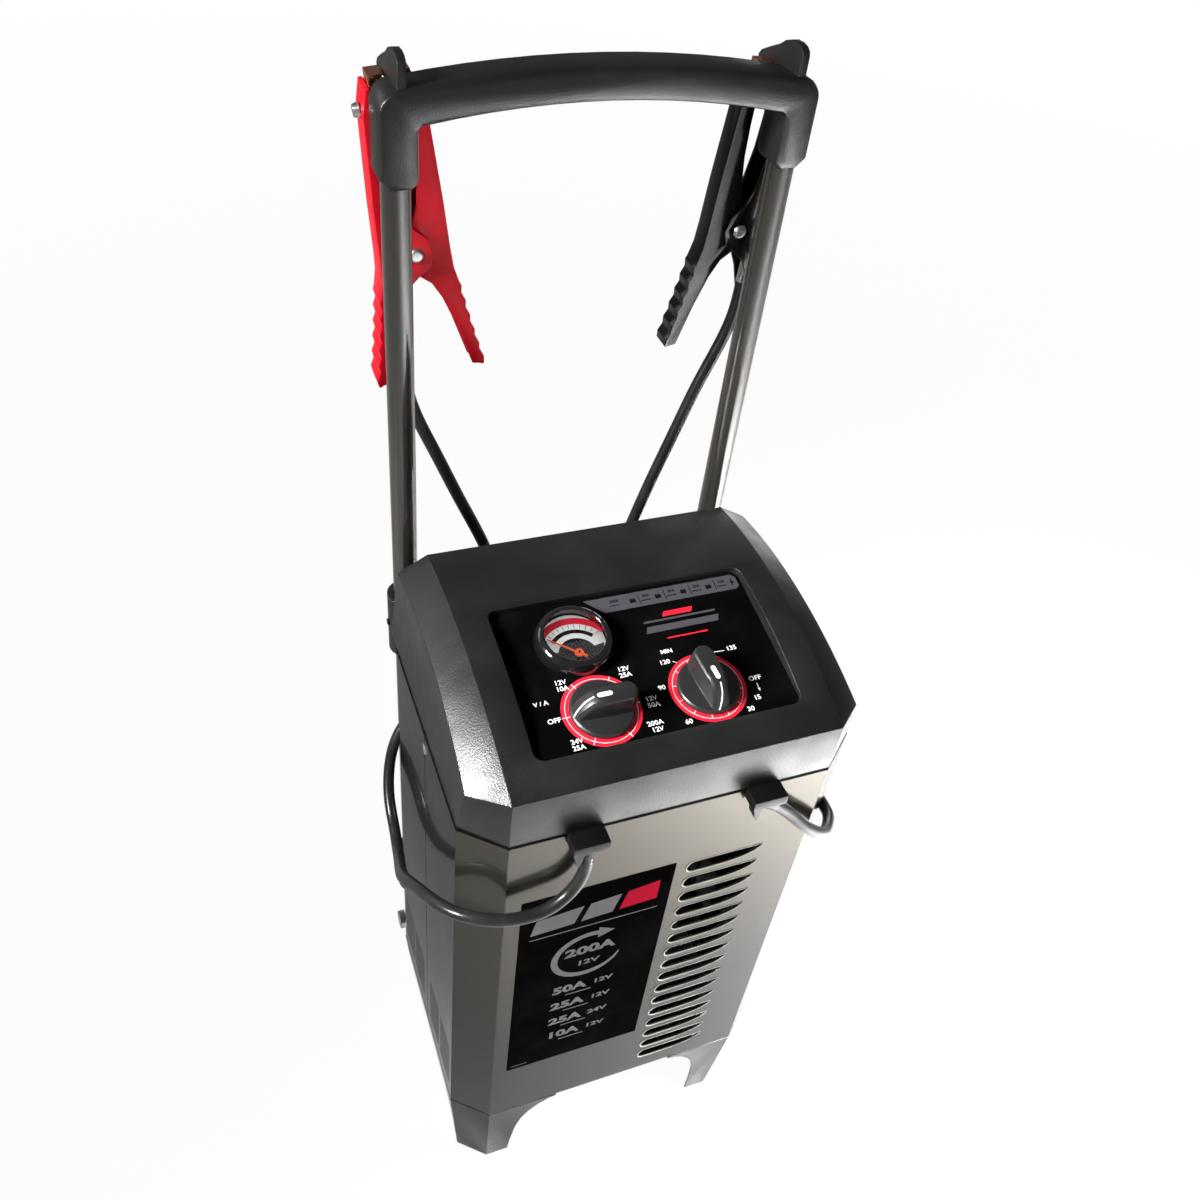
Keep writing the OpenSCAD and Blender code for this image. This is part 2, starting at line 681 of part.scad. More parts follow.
// Saddle that carries a tube off the rear panel; its top collar clears the cover
module bracket(z) difference() {
    union() {
        translate([tube_x, tube_y, z]) cylinder(r = wrap_r, h = bracket_h);
        translate([tube_x - wrap_r + 2, body_d, z])
            cube([2 * wrap_r - 6, tube_y - body_d, min(bracket_h, body_z1 - free - z)]);
    }
    translate([tube_x, tube_y, z - 1]) cylinder(d = tube_d + 2 * seat, h = bracket_h + 2);
    cross_bolt(z, bolt_d + 2 * seat);
    panel_bolt_hole(z);
}

module tube_brackets() color([0.06, 0.06, 0.06]) place() both_sides()
    for (z = bracket_z) bracket(z);

module bracket_screws() color("silver") place() both_sides() for (z = bracket_z) {
    translate([tube_x - wrap_r - 3, tube_y, z + bracket_h / 2]) rotate([0, 90, 0]) {
        cylinder(d = 9, h = 3, $fn = 32);
        cylinder(d = bolt_d, h = 2 * wrap_r + 4, $fn = 24);
    }
    translate([tube_x - 4, body_d - sheet_t - 3, z + 14]) rotate([-90, 0, 0]) {
        cylinder(d = 9, h = 3, $fn = 32);
        cylinder(d = bolt_d, h = 15, $fn = 24);
    }
}

// ---------- axle and wheels ----------

axle_x = tube_x + tube_d / 2 + 4;
tyre_in = wheel_d / 2 - tyre_t;

module on_axle() translate([0, tube_y, axle_z]) rotate([0, 90, 0]) children();

module axle() color("silver") place() on_axle() translate([0, 0, -axle_x])
    cylinder(d = axle_d, h = 2 * axle_x);

module axle_caps() color("silver") place() both_sides() on_axle()
    translate([0, 0, tube_x + tube_d / 2 + 0.2]) difference() {
        cylinder(d = axle_d + 8, h = 6);
        translate([0, 0, -1]) cylinder(d = axle_d + 0.1, h = axle_x - tube_x - tube_d / 2 + 1);
    }

module wheel() on_axle() translate([0, 0, wheel_x]) difference() {
    union() {
        rotate_extrude($fn = 96) let (h = wheel_w / 2, hub = axle_d / 2 + 6, r = tyre_in - seat / 2)
            polygon([[1, -h - 9], [hub, -h - 9], [hub, -3], [r - 6, -3], [r - 5, -h + 1], [r, -h + 1],
                [r, h - 1], [r - 5, h - 1], [r - 6, 3], [hub, 3], [hub, h + 1], [1, h + 1]]);
        for (a = [0:60:300]) rotate(a) translate([axle_d / 2 + 4, -2, -wheel_w / 2 + 3])
            cube([tyre_in - axle_d / 2 - 8, 4, wheel_w - 6]);
    }
    translate([0, 0, -wheel_w]) cylinder(d = axle_d + 2 * run, h = 2 * wheel_w);
}

module tyre() on_axle() translate([0, 0, wheel_x]) rotate_extrude($fn = 96) let (
    h = wheel_w / 2, r = wheel_d / 2)
    polygon([[tyre_in, -h + 1], [r - 4, -h], [r - 1.2, -h + 3], [r, -h + 7], [r, h - 7],
        [r - 1.2, h - 3], [r - 4, h], [tyre_in, h - 1]]);

module left_wheel() color([0.1, 0.1, 0.1]) place() mirror([1, 0, 0]) wheel();
module right_wheel() color([0.1, 0.1, 0.1]) place() wheel();
module left_tyre() color([0.04, 0.04, 0.04]) place() mirror([1, 0, 0]) tyre();
module right_tyre() color([0.04, 0.04, 0.04]) place() tyre();

// ---------- electrical parts inside the body ----------

core_w = 120;
core_d = 62;
core_h = 100;
core_y = body_d - 88;
core_z = body_z0 + 4;
leg = 20;

module transformer_core() color([0.35, 0.3, 0.28]) place() difference() {
    translate([-core_w / 2, core_y - core_d / 2, core_z]) cube([core_w, core_d, core_h]);
    for (s = [-1, 1]) translate([s * (leg + 10) - 10, core_y - core_d, core_z + leg])
        cube([20, 2 * core_d, core_h - 2 * leg]);
}

module transformer_coils() color([0.6, 0.35, 0.15]) place()
    translate([0, core_y, core_z + leg + 1]) linear_extrude(core_h - 2 * leg - 2) difference() {
        offset(r = 6) square([2 * leg + 26, core_d + 26], center = true);
        square([2 * leg + 0.4, core_d + 0.4], center = true);
    }

// Two angles that bolt the core to the base frame
module transformer_feet() color("silver") place() for (s = [-1, 1])
    across(s * (core_w / 2 + 1) - 1, s * (core_w / 2 + 1) + 1) difference() {
        translate([core_y - core_d / 2, body_z0]) square([core_d, 34]);
        translate([core_y, body_z0 + 26]) circle(d = 5, $fn = 24);
    }

plate_y = body_d - 19;
diode_d = 16;

module rectifier_plate() color([0.75, 0.76, 0.77]) place() difference() {
    translate([-60, plate_y, body_z0]) cube([120, 5, 90]);
    for (x = [-30, 30]) translate([x, plate_y - 1, body_z0 + 55]) rotate([-90, 0, 0])
        cylinder(d = diode_d, h = 7);
}

module rectifier_diodes() color([0.5, 0.5, 0.5]) place() for (x = [-30, 30])
    translate([x, plate_y - 3, body_z0 + 55]) rotate([-90, 0, 0]) {
        cylinder(d = diode_d - 0.1, h = 8);
        translate([0, 0, -10]) cylinder(d = 3, h = 11, $fn = 24);
    }

breaker_x = body_x - 63;
breaker_y = 50;

module circuit_breaker() color([0.1, 0.1, 0.1]) place() {
    translate([breaker_x, breaker_y, body_z0]) cube([24, 40, 44]);
    for (y = [10, 30]) translate([breaker_x + 12, breaker_y + y, body_z0 + 43])
        cylinder(d = 6, h = 9, $fn = 24);
}

gland_x = 60;

// Gland for the mains cord, in the rear panel
module mains_gland() color([0.05, 0.05, 0.05]) place()
    translate([gland_x, body_d, body_z0 + 40]) rotate([-90, 0, 0]) difference() {
        union() {
            cylinder(d1 = 22, d2 = 18, h = 7);
            translate([0, 0, -sheet_t - 1]) cylinder(d = 15.6, h = sheet_t + 2);
            translate([0, 0, -sheet_t - 5]) cylinder(d = 22, h = 5, $fn = 6);
        }
        translate([0, 0, -20]) cylinder(d = 9, h = 40);
    }

// ---------- clamps ----------

rivet_d = 5;
open_gap = fin_t / 2 + free;
crimp_z = [-42, -22];
crimp_w = 18;
strap_z = 45;

// A point of the right-hand clamp: w across and z above its pivot, in the body's frame
function clamp_point(tilt, w, z) = [
    fin_x + w * cos(tilt) + (z - jaw_up) * sin(tilt), clamp_y,
    jaw_z - w * sin(tilt) + (z - jaw_up) * cos(tilt)];

module on_clamp(tilt) place() translate([fin_x, clamp_y, jaw_z]) rotate([0, tilt, 0])
    translate([0, 0, -jaw_up]) children();

// Outer edge of an arm from the handle's end to the jaw, rippled for the fingers
function handle_w(z) = 22.5 + 14 * pow(-z / 88, 1.35) + 0.8 * (1 - cos(360 * z / 11));
outer_edge = concat(
    [for (i = [32:-1:9]) let (z = -handle_dn * i / 32) [handle_w(z), z]],
    [[23.4, -14], [22.5, 0], [21.6, 30], [20, 60], [18.5, jaw_up - 20], [15, jaw_up - 6]]);
inner_edge = [[9, jaw_up - 8], [9, 70], [8, 50], [5, 30], [0, 18], [-8, 10], [-11, 0], [-8, -10],
    [0, -15], [8, -22], [14, -34], [21, -56], [28.5, -handle_dn + 2]];

module arm(width) {
    for (s = [-1, 1]) along(s * (width - arm_t) / 2 - arm_t / 2, s * (width - arm_t) / 2 + arm_t / 2)
        polygon(concat(outer_edge, inner_edge));
    along(-width / 2, width / 2) polygon(concat(outer_edge,
        [for (i = [len(outer_edge) - 1:-1:0]) outer_edge[i] - [arm_t, 0]]));
}

module rivet_hole(d) rotate([90, 0, 0]) cylinder(d = d, h = 60, center = true, $fn = 32);

module bolt_hole() translate([8, 0, jaw_up - 20]) rotate([0, 90, 0])
    cylinder(d = 4.4, h = 30, $fn = 24);

module fixed_arm() difference() {
    arm(arm_w);
    rivet_hole(rivet_d);
    bolt_hole();
}

move_w = arm_w - 2 * (arm_t + free);

module moving_arm() mirror([1, 0, 0]) difference() {
    arm(move_w);
    rivet_hole(rivet_d + 2 * run);
    bolt_hole();
}

// Copper jaw: a back that lies on the arm's web and a toothed tip that bites inward
module jaw(width, tip_w) difference() {
    along(-width / 2, width / 2) polygon(concat(
        [[16.2 - 2.5 + 1, strap_z], [16.2 + 1, strap_z], [17.2, 60], [15.8, jaw_up - 20],
            [12.2, jaw_up - 6], [12.2, jaw_up], [tip_w, jaw_up]],
        [for (i = [0:3]) each [[tip_w + 1.2, jaw_up - 3 * i - 2], [tip_w, jaw_up - 3 * i - 3]]],
        [[9.5, jaw_up - 15], [13.2, jaw_up - 22], [14.7, 60]]));
    bolt_hole();
}

module jaw_bolt() translate([13.5, 0, jaw_up - 20]) rotate([0, 90, 0]) {
    cylinder(d = 4, h = 6, $fn = 24);
    translate([0, 0, 5.4]) cylinder(d1 = 9, d2 = 7, h = 3.4, $fn = 32);
}

module clamp_rivet() rotate([90, 0, 0]) {
    cylinder(d = rivet_d, h = arm_w + 1, center = true, $fn = 32);
    for (s = [0, 180]) rotate([s, 0, 0]) translate([0, 0, arm_w / 2])
        cylinder(d1 = 10, d2 = 6.5, h = 2, $fn = 32);
}

// Rings of a round wire or cable along a path, each square to the path
function unit(v) = v / norm(v);
function tangent(p, i) = unit(p[min(i + 1, len(p) - 1)] - p[max(i - 1, 0)]);
function turned(n, t) = unit(n - (n * t) * t);
function normals(p, i, n) = i == len(p) ? [] :
    let (m = turned(n, tangent(p, i))) concat([m], normals(p, i + 1, m));
function rings(p, r, sides, start) = let (ns = normals(p, 0, start)) [for (i = [0:len(p) - 1])
    let (t = tangent(p, i), u = ns[i], v = cross(t, u))
    [for (k = [0:sides - 1]) let (a = 360 * k / sides) p[i] + r * cos(a) * u + r * sin(a) * v]];

spring_wire = 1.6;
spring_r = 3.9;
spring_turns = 4;

// Torsion spring on the rivet, with a short straight leg at each end
module clamp_spring() {
    steps = spring_turns * 12;
    coil = [for (i = [0:steps]) let (a = 360 * i * spring_turns / steps + 270)
        [spring_r * cos(a), (i / steps - 0.5) * spring_turns * (spring_wire + 0.5), spring_r * sin(a)]];
    path = concat([coil[0] + [-9, 0, -1]], coil, [coil[steps] + [9, 0, -1]]);
    skin(rings(path, spring_wire / 2, 6, [0, 1, 0]));
}

// Barrel that grips the lead and the strap that joins it to the jaw
module clamp_crimp() {
    translate([crimp_w, 0, crimp_z[0]]) cylinder(d = cable_d, h = crimp_z[1] - crimp_z[0]);
    along(-3, 3) polygon([[15, crimp_z[1] - 4], [16.6, crimp_z[1] - 4], [16.6, strap_z], [15, strap_z]]);
}

module red_side() mirror([1, 0, 0]) on_clamp(red_tilt) children();
module black_side() on_clamp(black_tilt) children();

module red_fixed_arm() color([0.85, 0.12, 0.1]) red_side() fixed_arm();
module red_moving_arm() color([0.85, 0.12, 0.1]) red_side() moving_arm();
module red_fixed_jaw() color([0.72, 0.4, 0.25]) red_side() jaw(14, open_gap + 6 * sin(red_tilt));
module red_moving_jaw() color([0.72, 0.4, 0.25]) red_side() mirror([1, 0, 0]) jaw(10, open_gap);
module red_rivet() color("silver") red_side() clamp_rivet();
module red_spring() color("gray") red_side() clamp_spring();
module red_crimp() color([0.72, 0.4, 0.25]) red_side() clamp_crimp();
module red_fixed_bolt() color("silver") red_side() jaw_bolt();
module red_moving_bolt() color("silver") red_side() mirror([1, 0, 0]) jaw_bolt();
module black_fixed_arm() color([0.04, 0.04, 0.04]) black_side() fixed_arm();
module black_moving_arm() color([0.04, 0.04, 0.04]) black_side() moving_arm();
module black_fixed_jaw() color([0.72, 0.4, 0.25]) black_side() jaw(14, open_gap + 6 * sin(black_tilt));
module black_moving_jaw() color([0.72, 0.4, 0.25]) black_side() mirror([1, 0, 0]) jaw(10, open_gap);
module black_rivet() color("silver") black_side() clamp_rivet();
module black_spring() color("gray") black_side() clamp_spring();
module black_crimp() color([0.72, 0.4, 0.25]) black_side() clamp_crimp();
module black_fixed_bolt() color("silver") black_side() jaw_bolt();
module black_moving_bolt() color("silver") black_side() mirror([1, 0, 0]) jaw_bolt();

// ---------- leads ----------

lead_y = -8;
nozzle_z = body_z1 - 7;
nozzle_l = 10;

module strain_relief(x, lean) translate([x, 0, 0]) {
    translate([-notch_w / 2 + 0.5, -relief_out, body_z1 - notch_h + 0.5])
        cube([notch_w - 1, relief_out + relief_in, notch_h - 0.8]);
    along(-relief_out, -relief_out + 8) polygon([[-12, body_z1 - 8], [-5, body_z1 - 8],
        [-6.5, body_z1 - 16], [-8, body_z1 - 21], [-10.5, body_z1 - 16]]);
    translate([0, lead_y, nozzle_z]) rotate([0, -lean, 0]) translate([0, 0, -nozzle_l])
        cylinder(d1 = cable_d + 1, d2 = cable_d + 3, h = nozzle_l);
}

right_lean = 45;

module left_strain_relief() color([0.03, 0.03, 0.03]) place() strain_relief(-lead_x, 0);
module right_strain_relief() color([0.03, 0.03, 0.03]) place() strain_relief(lead_x, right_lean);

// Routes of the leads, from strain relief to clamp
red_exit = [-lead_x, lead_y, nozzle_z - nozzle_l];
black_exit = [lead_x + nozzle_l * sin(right_lean), lead_y, nozzle_z - nozzle_l * cos(right_lean)];
red_route = [
    [-64, -8, 478], [-67, -9, 465], [-75, -10, 452], [-88, -12, 444], [-104, -12, 441],
    [-121, -10, 442], [-138, -4, 444], [-152, 9, 441], [-161, 28, 432], [-165, 48, 416],
    [-167, 69, 395], [-165, 92, 371], [-161, 116, 350], [-158, 138, 338], [-156, 158, 336],
    [-155, 176, 344], [-152, 191, 358], [-146, 202, 376], [-136, 209, 393], [-121, 213, 405],
    [-103, 214, 409], [-86, 214, 402], [-75, 214, 386], [-70, 214, 360], [-69, 214, 310],
    [-69, 214, 256], [-69, 214, 222], [-67, 214, 196], [-56, 214, 175], [-37, 214, 166],
    [-17, 216, 172], [-5, 218, 190], [-2, 221, 216], [-4, 227, 270], [-12, 234, 338],
    [-23, 240, 402], [-39, 246, 466], [-59, 251, 536], [-79, 255, 584], [-97, 259, 628],
    [-112, 263, 668]];
black_route = [
    [78, -8, 487], [89, -9, 475], [101, -11, 461], [113, -11, 449], [126, -7, 437],
    [138, 4, 427], [147, 17, 420], [150, 36, 416], [151, 62, 415], [151, 90, 416],
    [151, 118, 414], [151, 144, 407], [151, 168, 396], [148, 189, 382], [139, 205, 366],
    [128, 213, 344], [118, 216, 314], [109, 216, 280], [103, 214, 246], [98, 214, 214],
    [91, 214, 186], [76, 214, 166], [53, 214, 159], [31, 215, 168], [18, 218, 194],
    [15, 222, 240], [17, 227, 298], [22, 233, 352], [32, 239, 410], [45, 246, 466],
    [61, 252, 520], [78, 257, 570], [95, 261, 616], [110, 264, 656]];

function mirrored(p) = [-p[0], p[1], p[2]];
red_end = [for (z = [crimp_z[0] - 24, crimp_z[0]]) mirrored(clamp_point(red_tilt, crimp_w, z))];
black_end = [for (z = [crimp_z[0] - 24, crimp_z[0]]) clamp_point(black_tilt, crimp_w, z)];
lead_sides = 10;

// Cable swept along a route, with its end faces square to it
module lead(path) skin(rings(path, cable_d / 2, lead_sides, [0, 1, 0]));

module red_cable() color([0.03, 0.03, 0.03]) place() lead(concat([red_exit], red_route, red_end));
module black_cable() color([0.03, 0.03, 0.03]) place()
    lead(concat([black_exit], black_route, black_end));

front_shell();
rear_shell();
base_frame();
left_foot();
right_foot();
top_cover();
control_panel();
front_label();
meter_body();
meter_dial();
meter_needle();
meter_lens();
meter_bezel();
selector_knob();
selector_switch();
timer_knob();
timer_body();
shaft_nuts();
handle_grip();
left_tube();
right_tube();
tube_brackets();
bracket_screws();
axle();
axle_caps();
left_wheel();
right_wheel();
left_tyre();
right_tyre();
transformer_core();
transformer_coils();
transformer_feet();
rectifier_plate();
rectifier_diodes();
circuit_breaker();
mains_gland();
red_fixed_arm();
red_moving_arm();
red_fixed_jaw();
red_moving_jaw();
red_rivet();
red_spring();
red_crimp();
red_fixed_bolt();
red_moving_bolt();
black_fixed_arm();
black_moving_arm();
black_fixed_jaw();
black_moving_jaw();
black_rivet();
black_spring();
black_crimp();
black_fixed_bolt();
black_moving_bolt();
red_cable();
black_cable();
left_strain_relief();
right_strain_relief();
shell_screws();
foot_bolts();
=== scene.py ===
"""Wheeled battery charger: finishes, printing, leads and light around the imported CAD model."""
import math

import bmesh
import bpy
import numpy as np
from mathutils import Matrix, Vector

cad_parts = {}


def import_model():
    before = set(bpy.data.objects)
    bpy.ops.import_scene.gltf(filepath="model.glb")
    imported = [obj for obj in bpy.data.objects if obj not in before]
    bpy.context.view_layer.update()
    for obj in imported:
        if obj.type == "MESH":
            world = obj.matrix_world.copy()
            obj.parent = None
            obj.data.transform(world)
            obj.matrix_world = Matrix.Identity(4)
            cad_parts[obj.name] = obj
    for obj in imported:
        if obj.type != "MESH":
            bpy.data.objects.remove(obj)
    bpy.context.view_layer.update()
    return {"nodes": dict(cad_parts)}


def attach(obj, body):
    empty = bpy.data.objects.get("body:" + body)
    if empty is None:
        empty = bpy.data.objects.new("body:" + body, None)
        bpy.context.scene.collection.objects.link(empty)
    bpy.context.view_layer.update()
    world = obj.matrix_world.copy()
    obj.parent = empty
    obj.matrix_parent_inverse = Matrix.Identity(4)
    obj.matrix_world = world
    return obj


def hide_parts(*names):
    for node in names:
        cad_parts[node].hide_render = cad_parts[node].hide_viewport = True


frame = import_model()
MM = 0.001
TAU = 2 * math.pi
FRONT_Y = -141.5  # depth of the front panel in the frame, mm


def at(x, depth, z):
    """Point in the frame, from millimetres across, behind the front panel and above the floor"""
    return Vector((x, depth + FRONT_Y, z)) * MM


# ---------- camera ----------

# Fitted to edges and corners of the object in the photo: place in metres, and directions in the frame
CAMERA_PLACE = Vector((-0.2611, -0.5280, 1.1084))
CAMERA_VIEW = Vector((0.31775, 0.66149, -0.67931))
CAMERA_RIGHT = Vector((0.93245, -0.34795, 0.09734))
LENS, SENSOR = 34.08, 36  # mm
CLIP_START = 0.02  # metres


def make_camera():
    data = bpy.data.cameras.new("camera")
    data.lens = LENS
    data.sensor_width = SENSOR
    data.clip_start = CLIP_START
    camera = bpy.data.objects.new("camera", data)
    bpy.context.collection.objects.link(camera)
    up = CAMERA_RIGHT.cross(CAMERA_VIEW)
    turn = Matrix((CAMERA_RIGHT, up, -CAMERA_VIEW)).transposed()
    camera.matrix_world = Matrix.Translation(CAMERA_PLACE) @ turn.to_4x4()
    bpy.context.scene.camera = camera


make_camera()

# ---------- materials ----------

BEVEL_SAMPLES = 6
FLAT = 0.999  # cosine above which a spot counts as clear of any edge


class Finish:
    """A material built on its Principled shader, with helpers for the nodes that feed it"""

    def __init__(self, name, color, rough, metallic=0.0, **sockets):
        self.mat = bpy.data.materials.new(name)
        self.mat.use_nodes = True
        self.tree = self.mat.node_tree
        self.shader = self.tree.nodes["Principled BSDF"]
        self.set("Base Color", (*color, 1))
        self.set("Roughness", rough)
        self.set("Metallic", metallic)
        for socket, value in sockets.items():
            self.set(socket.replace("_", " ").title().replace("Ior", "IOR"), value)
        self.coords = self.add("ShaderNodeTexCoord").outputs["Object"]
        self.normal = None

    def set(self, socket, value):
        self.shader.inputs[socket].default_value = value

    def add(self, kind, **values):
        """Adds a node; values name its inputs, and a value that is a socket is linked"""
        node = self.tree.nodes.new(kind)
        for key, value in values.items():
            self.put(node.inputs[key.replace("_", " ").title()], value)
        return node

    def put(self, socket, value):
        if isinstance(value, bpy.types.NodeSocket):
            self.tree.links.new(value, socket)
        else:
            socket.default_value = value

    def math(self, kind, a, b):
        node = self.tree.nodes.new("ShaderNodeMath")
        node.operation = kind
        self.put(node.inputs[0], a)
        self.put(node.inputs[1], b)
        return node.outputs[0]

    def mapped(self, scale):
        """Coordinates stretched along the axes"""
        node = self.add("ShaderNodeMapping", vector=self.coords)
        node.inputs["Scale"].default_value = scale
        return node.outputs[0]

    def noise(self, scale, detail=3.0, rough=0.55, coords=None):
        node = self.add("ShaderNodeTexNoise", vector=coords or self.coords, scale=scale, detail=detail,
                        roughness=rough)
        return node.outputs["Fac"]

    def cells(self, scale):
        """Distance to the nearest of many scattered points"""
        return self.add("ShaderNodeTexVoronoi", vector=self.coords, scale=scale).outputs["Distance"]

    def waves(self, scale, axis, distortion=0.0):
        """Bands across an axis"""
        node = self.add("ShaderNodeTexWave", vector=self.coords, scale=scale, distortion=distortion)
        node.bands_direction = axis
        return node.outputs["Fac"]

    def ramp(self, value, low, high, to_low=0.0, to_high=1.0):
        """Maps a stretch of a value to another, smoothly and held at its ends"""
        node = self.add("ShaderNodeMapRange", value=value)
        node.interpolation_type = "SMOOTHSTEP"
        for key, number in (("From Min", low), ("From Max", high), ("To Min", to_low), ("To Max", to_high)):
            node.inputs[key].default_value = number
        return node.outputs[0]

    def blend(self, factor, first, second):
        node = self.tree.nodes.new("ShaderNodeMix")
        node.data_type = "RGBA"
        self.put(node.inputs[0], factor)
        for socket, value in ((node.inputs[6], first), (node.inputs[7], second)):
            self.put(socket, value if isinstance(value, bpy.types.NodeSocket) else (*value, 1))
        return node.outputs[2]

    def color(self, value):
        self.put(self.shader.inputs["Base Color"], value)

    def rough(self, value):
        self.put(self.shader.inputs["Roughness"], value)

    def bump(self, height, depth):
        """Lays a relief of a depth in metres over the ones laid before"""
        node = self.add("ShaderNodeBump", height=height, strength=1.0)
        node.inputs["Distance"].default_value = depth
        if self.normal:
            self.tree.links.new(self.normal, node.inputs["Normal"])
        self.face(node.outputs[0])

    def face(self, normal):
        """Makes a socket the shader's normal, on which the next relief is laid"""
        self.normal = normal
        self.put(self.shader.inputs["Normal"], normal)

    def rounded(self, radius):
        """Normal of the surface as if its edges had a radius in metres"""
        node = self.add("ShaderNodeBevel")
        node.samples = BEVEL_SAMPLES
        node.inputs["Radius"].default_value = radius
        return node.outputs[0]

    def edges(self, radius):
        """Lets light catch edges as if they were rounded"""
        self.face(self.rounded(radius))

    def wear_and_sheen(self, radius, amount):
        """Share of the surface near an edge, for wear and dust"""
        dot = self.tree.nodes.new("ShaderNodeVectorMath")
        dot.operation = "DOT_PRODUCT"
        self.put(dot.inputs[0], self.rounded(radius))
        self.put(dot.inputs[1], self.add("ShaderNodeNewGeometry").outputs["Normal"])
        return self.ramp(dot.outputs["Value"], 1.0 - amount, FLAT, 1.0, 0.0)


def body_paint():
    """Metallic grey enamel: fine flake, a slight orange peel and a clear gloss coat, darker where seen
    aslant, partly from the paint's flop and partly as painted shade on the sides
    """
    dark, light, shade_aslant = (0.075, 0.069, 0.058), (0.125, 0.116, 0.099), (0.04, 0.037, 0.033)
    f = Finish("body_paint", light, 0.2, 0.85, coat_weight=0.35, coat_roughness=0.04,
               specular_tint=(0.2, 0.19, 0.17, 1))
    f.edges(0.0008)
    flake = f.cells(2600)
    cloud = f.noise(5)
    base = f.blend(f.ramp(flake, 0.2, 0.8), dark, light)
    # Darkening where the paint is seen aslant: partly the flop of metallic paint, partly painted shade that
    # keeps the sides darker than the front
    flop_and_shade = f.ramp(f.add("ShaderNodeLayerWeight").outputs["Facing"], 0.3, 0.75)
    f.color(f.blend(flop_and_shade, base, shade_aslant))
    f.rough(f.ramp(cloud, 0.3, 0.7, 0.17, 0.24))
    f.bump(f.noise(120, 2), 0.00004)
    f.bump(flake, 0.00001)
    return f.mat


def moulding(name, color, rough, grain=900, depth=0.00012, shine=0.43):
    """Moulded plastic with an etched grain, a little paler on its edges"""
    f = Finish(name, color, rough, specular_ior_level=shine)
    f.edges(0.0009)
    pale = tuple(min(1, c * 1.8 + 0.006) for c in color)
    patches = f.ramp(f.noise(14), 0.35, 0.75, 0, 0.35)
    f.color(f.blend(f.math("MAXIMUM", patches, f.wear_and_sheen(0.0012, 0.4)), color, pale))
    f.rough(f.ramp(f.noise(40), 0.3, 0.7, rough - 0.05, rough + 0.06))
    f.bump(f.noise(grain, 4, 0.6), depth)
    f.bump(f.cells(grain * 0.8), depth * 0.5)
    return f.mat


def gloss(name, color, rough=0.08, coat=1.0, shine=0.5):
    """Smooth glossy surface with faint swirls"""
    f = Finish(name, color, rough, specular_ior_level=shine, coat_weight=coat, coat_roughness=0.03)
    f.edges(0.0005)
    f.color(f.blend(f.ramp(f.noise(30), 0.4, 0.8, 0, 0.4), color, tuple(c * 1.6 + 0.004 for c in color)))
    f.rough(f.ramp(f.noise(90), 0.35, 0.7, rough, rough + 0.06))
    f.bump(f.noise(220, 2), 0.00001)
    return f.mat


def plated(name, color, rough, brushed=(1, 1, 1), pitting=0.00002):
    """Bare or plated metal: streaks along one axis, pits and a duller film in patches"""
    f = Finish(name, color, rough, 1.0)
    f.edges(0.0005)
    streak = f.noise(160, 4, 0.7, f.mapped(brushed))
    film = f.ramp(f.noise(60), 0.35, 0.75)
    dark = tuple(c * 0.62 for c in color)
    f.color(f.blend(f.math("MULTIPLY", film, 0.6), color, dark))
    f.rough(f.ramp(streak, 0.25, 0.75, max(rough - 0.08, 0.05), rough + 0.14))
    f.bump(streak, pitting)
    return f.mat


def tube_enamel():
    """Black stoved enamel on drawn tube, with faint streaks along it in gloss and relief, and paler streaks
    of colour that are a painted reflection
    """
    black, wear_and_sheen = (0.022, 0.02, 0.017), (0.06, 0.056, 0.05)
    f = Finish("tube_black", black, 0.16, 0.25, coat_weight=0.9, coat_roughness=0.06)
    f.edges(0.0005)
    streak = f.noise(90, 4, 0.6, f.mapped((1, 1, 0.03)))
    # Paler streaks along the tube: painted reflection streaks
    f.color(f.blend(f.ramp(streak, 0.4, 0.75), black, wear_and_sheen))
    f.rough(f.ramp(streak, 0.3, 0.7, 0.12, 0.26))
    f.bump(streak, 0.00003)
    return f.mat


def rubber(name, color, rough, grain):
    """Dull rubber with a little dust in patches"""
    f = Finish(name, color, rough, sheen_weight=0.12, sheen_roughness=0.5)
    f.edges(0.0008)
    dust = f.ramp(f.noise(18, 5), 0.45, 0.8, 0, 0.5)
    f.color(f.blend(dust, color, tuple(c * 1.8 + 0.012 for c in color)))
    f.rough(f.ramp(f.noise(60), 0.3, 0.7, rough - 0.06, rough + 0.08))
    f.bump(f.noise(grain, 3), 0.00008)
    return f.mat


def lead_jacket():
    """Soft round jacket of a lead: smooth, with a slight waviness from the cores"""
    black, scuffed = (0.01, 0.01, 0.0095), (0.03, 0.03, 0.028)
    f = Finish("lead_rubber", black, 0.36, specular_ior_level=0.28, coat_weight=0.06, coat_roughness=0.2)
    f.color(f.blend(f.ramp(f.noise(26, 4), 0.4, 0.8, 0, 0.6), black, scuffed))
    f.rough(f.ramp(f.noise(50), 0.3, 0.7, 0.26, 0.38))
    f.bump(f.noise(45, 2), 0.0002)
    f.bump(f.noise(1500, 2), 0.00003)
    return f.mat


def clear_glass():
    """Meter window, with faint smears"""
    f = Finish("glass", (0.97, 0.98, 0.98), 0.02, transmission_weight=1.0, ior=1.35)
    f.rough(f.ramp(f.noise(140, 4), 0.4, 0.8, 0.01, 0.05))
    f.bump(f.noise(25, 2), 0.00002)
    return f.mat


def laminated_steel():
    """Stacked sheets of a transformer's core, browned in patches"""
    steel, browned = (0.2, 0.18, 0.17), (0.16, 0.09, 0.06)
    f = Finish("core_steel", steel, 0.42, 0.8)
    f.edges(0.0006)
    sheets = f.waves(300, "Y")
    f.color(f.blend(f.ramp(f.noise(30), 0.4, 0.8), steel, browned))
    f.bump(sheets, 0.0003)
    return f.mat


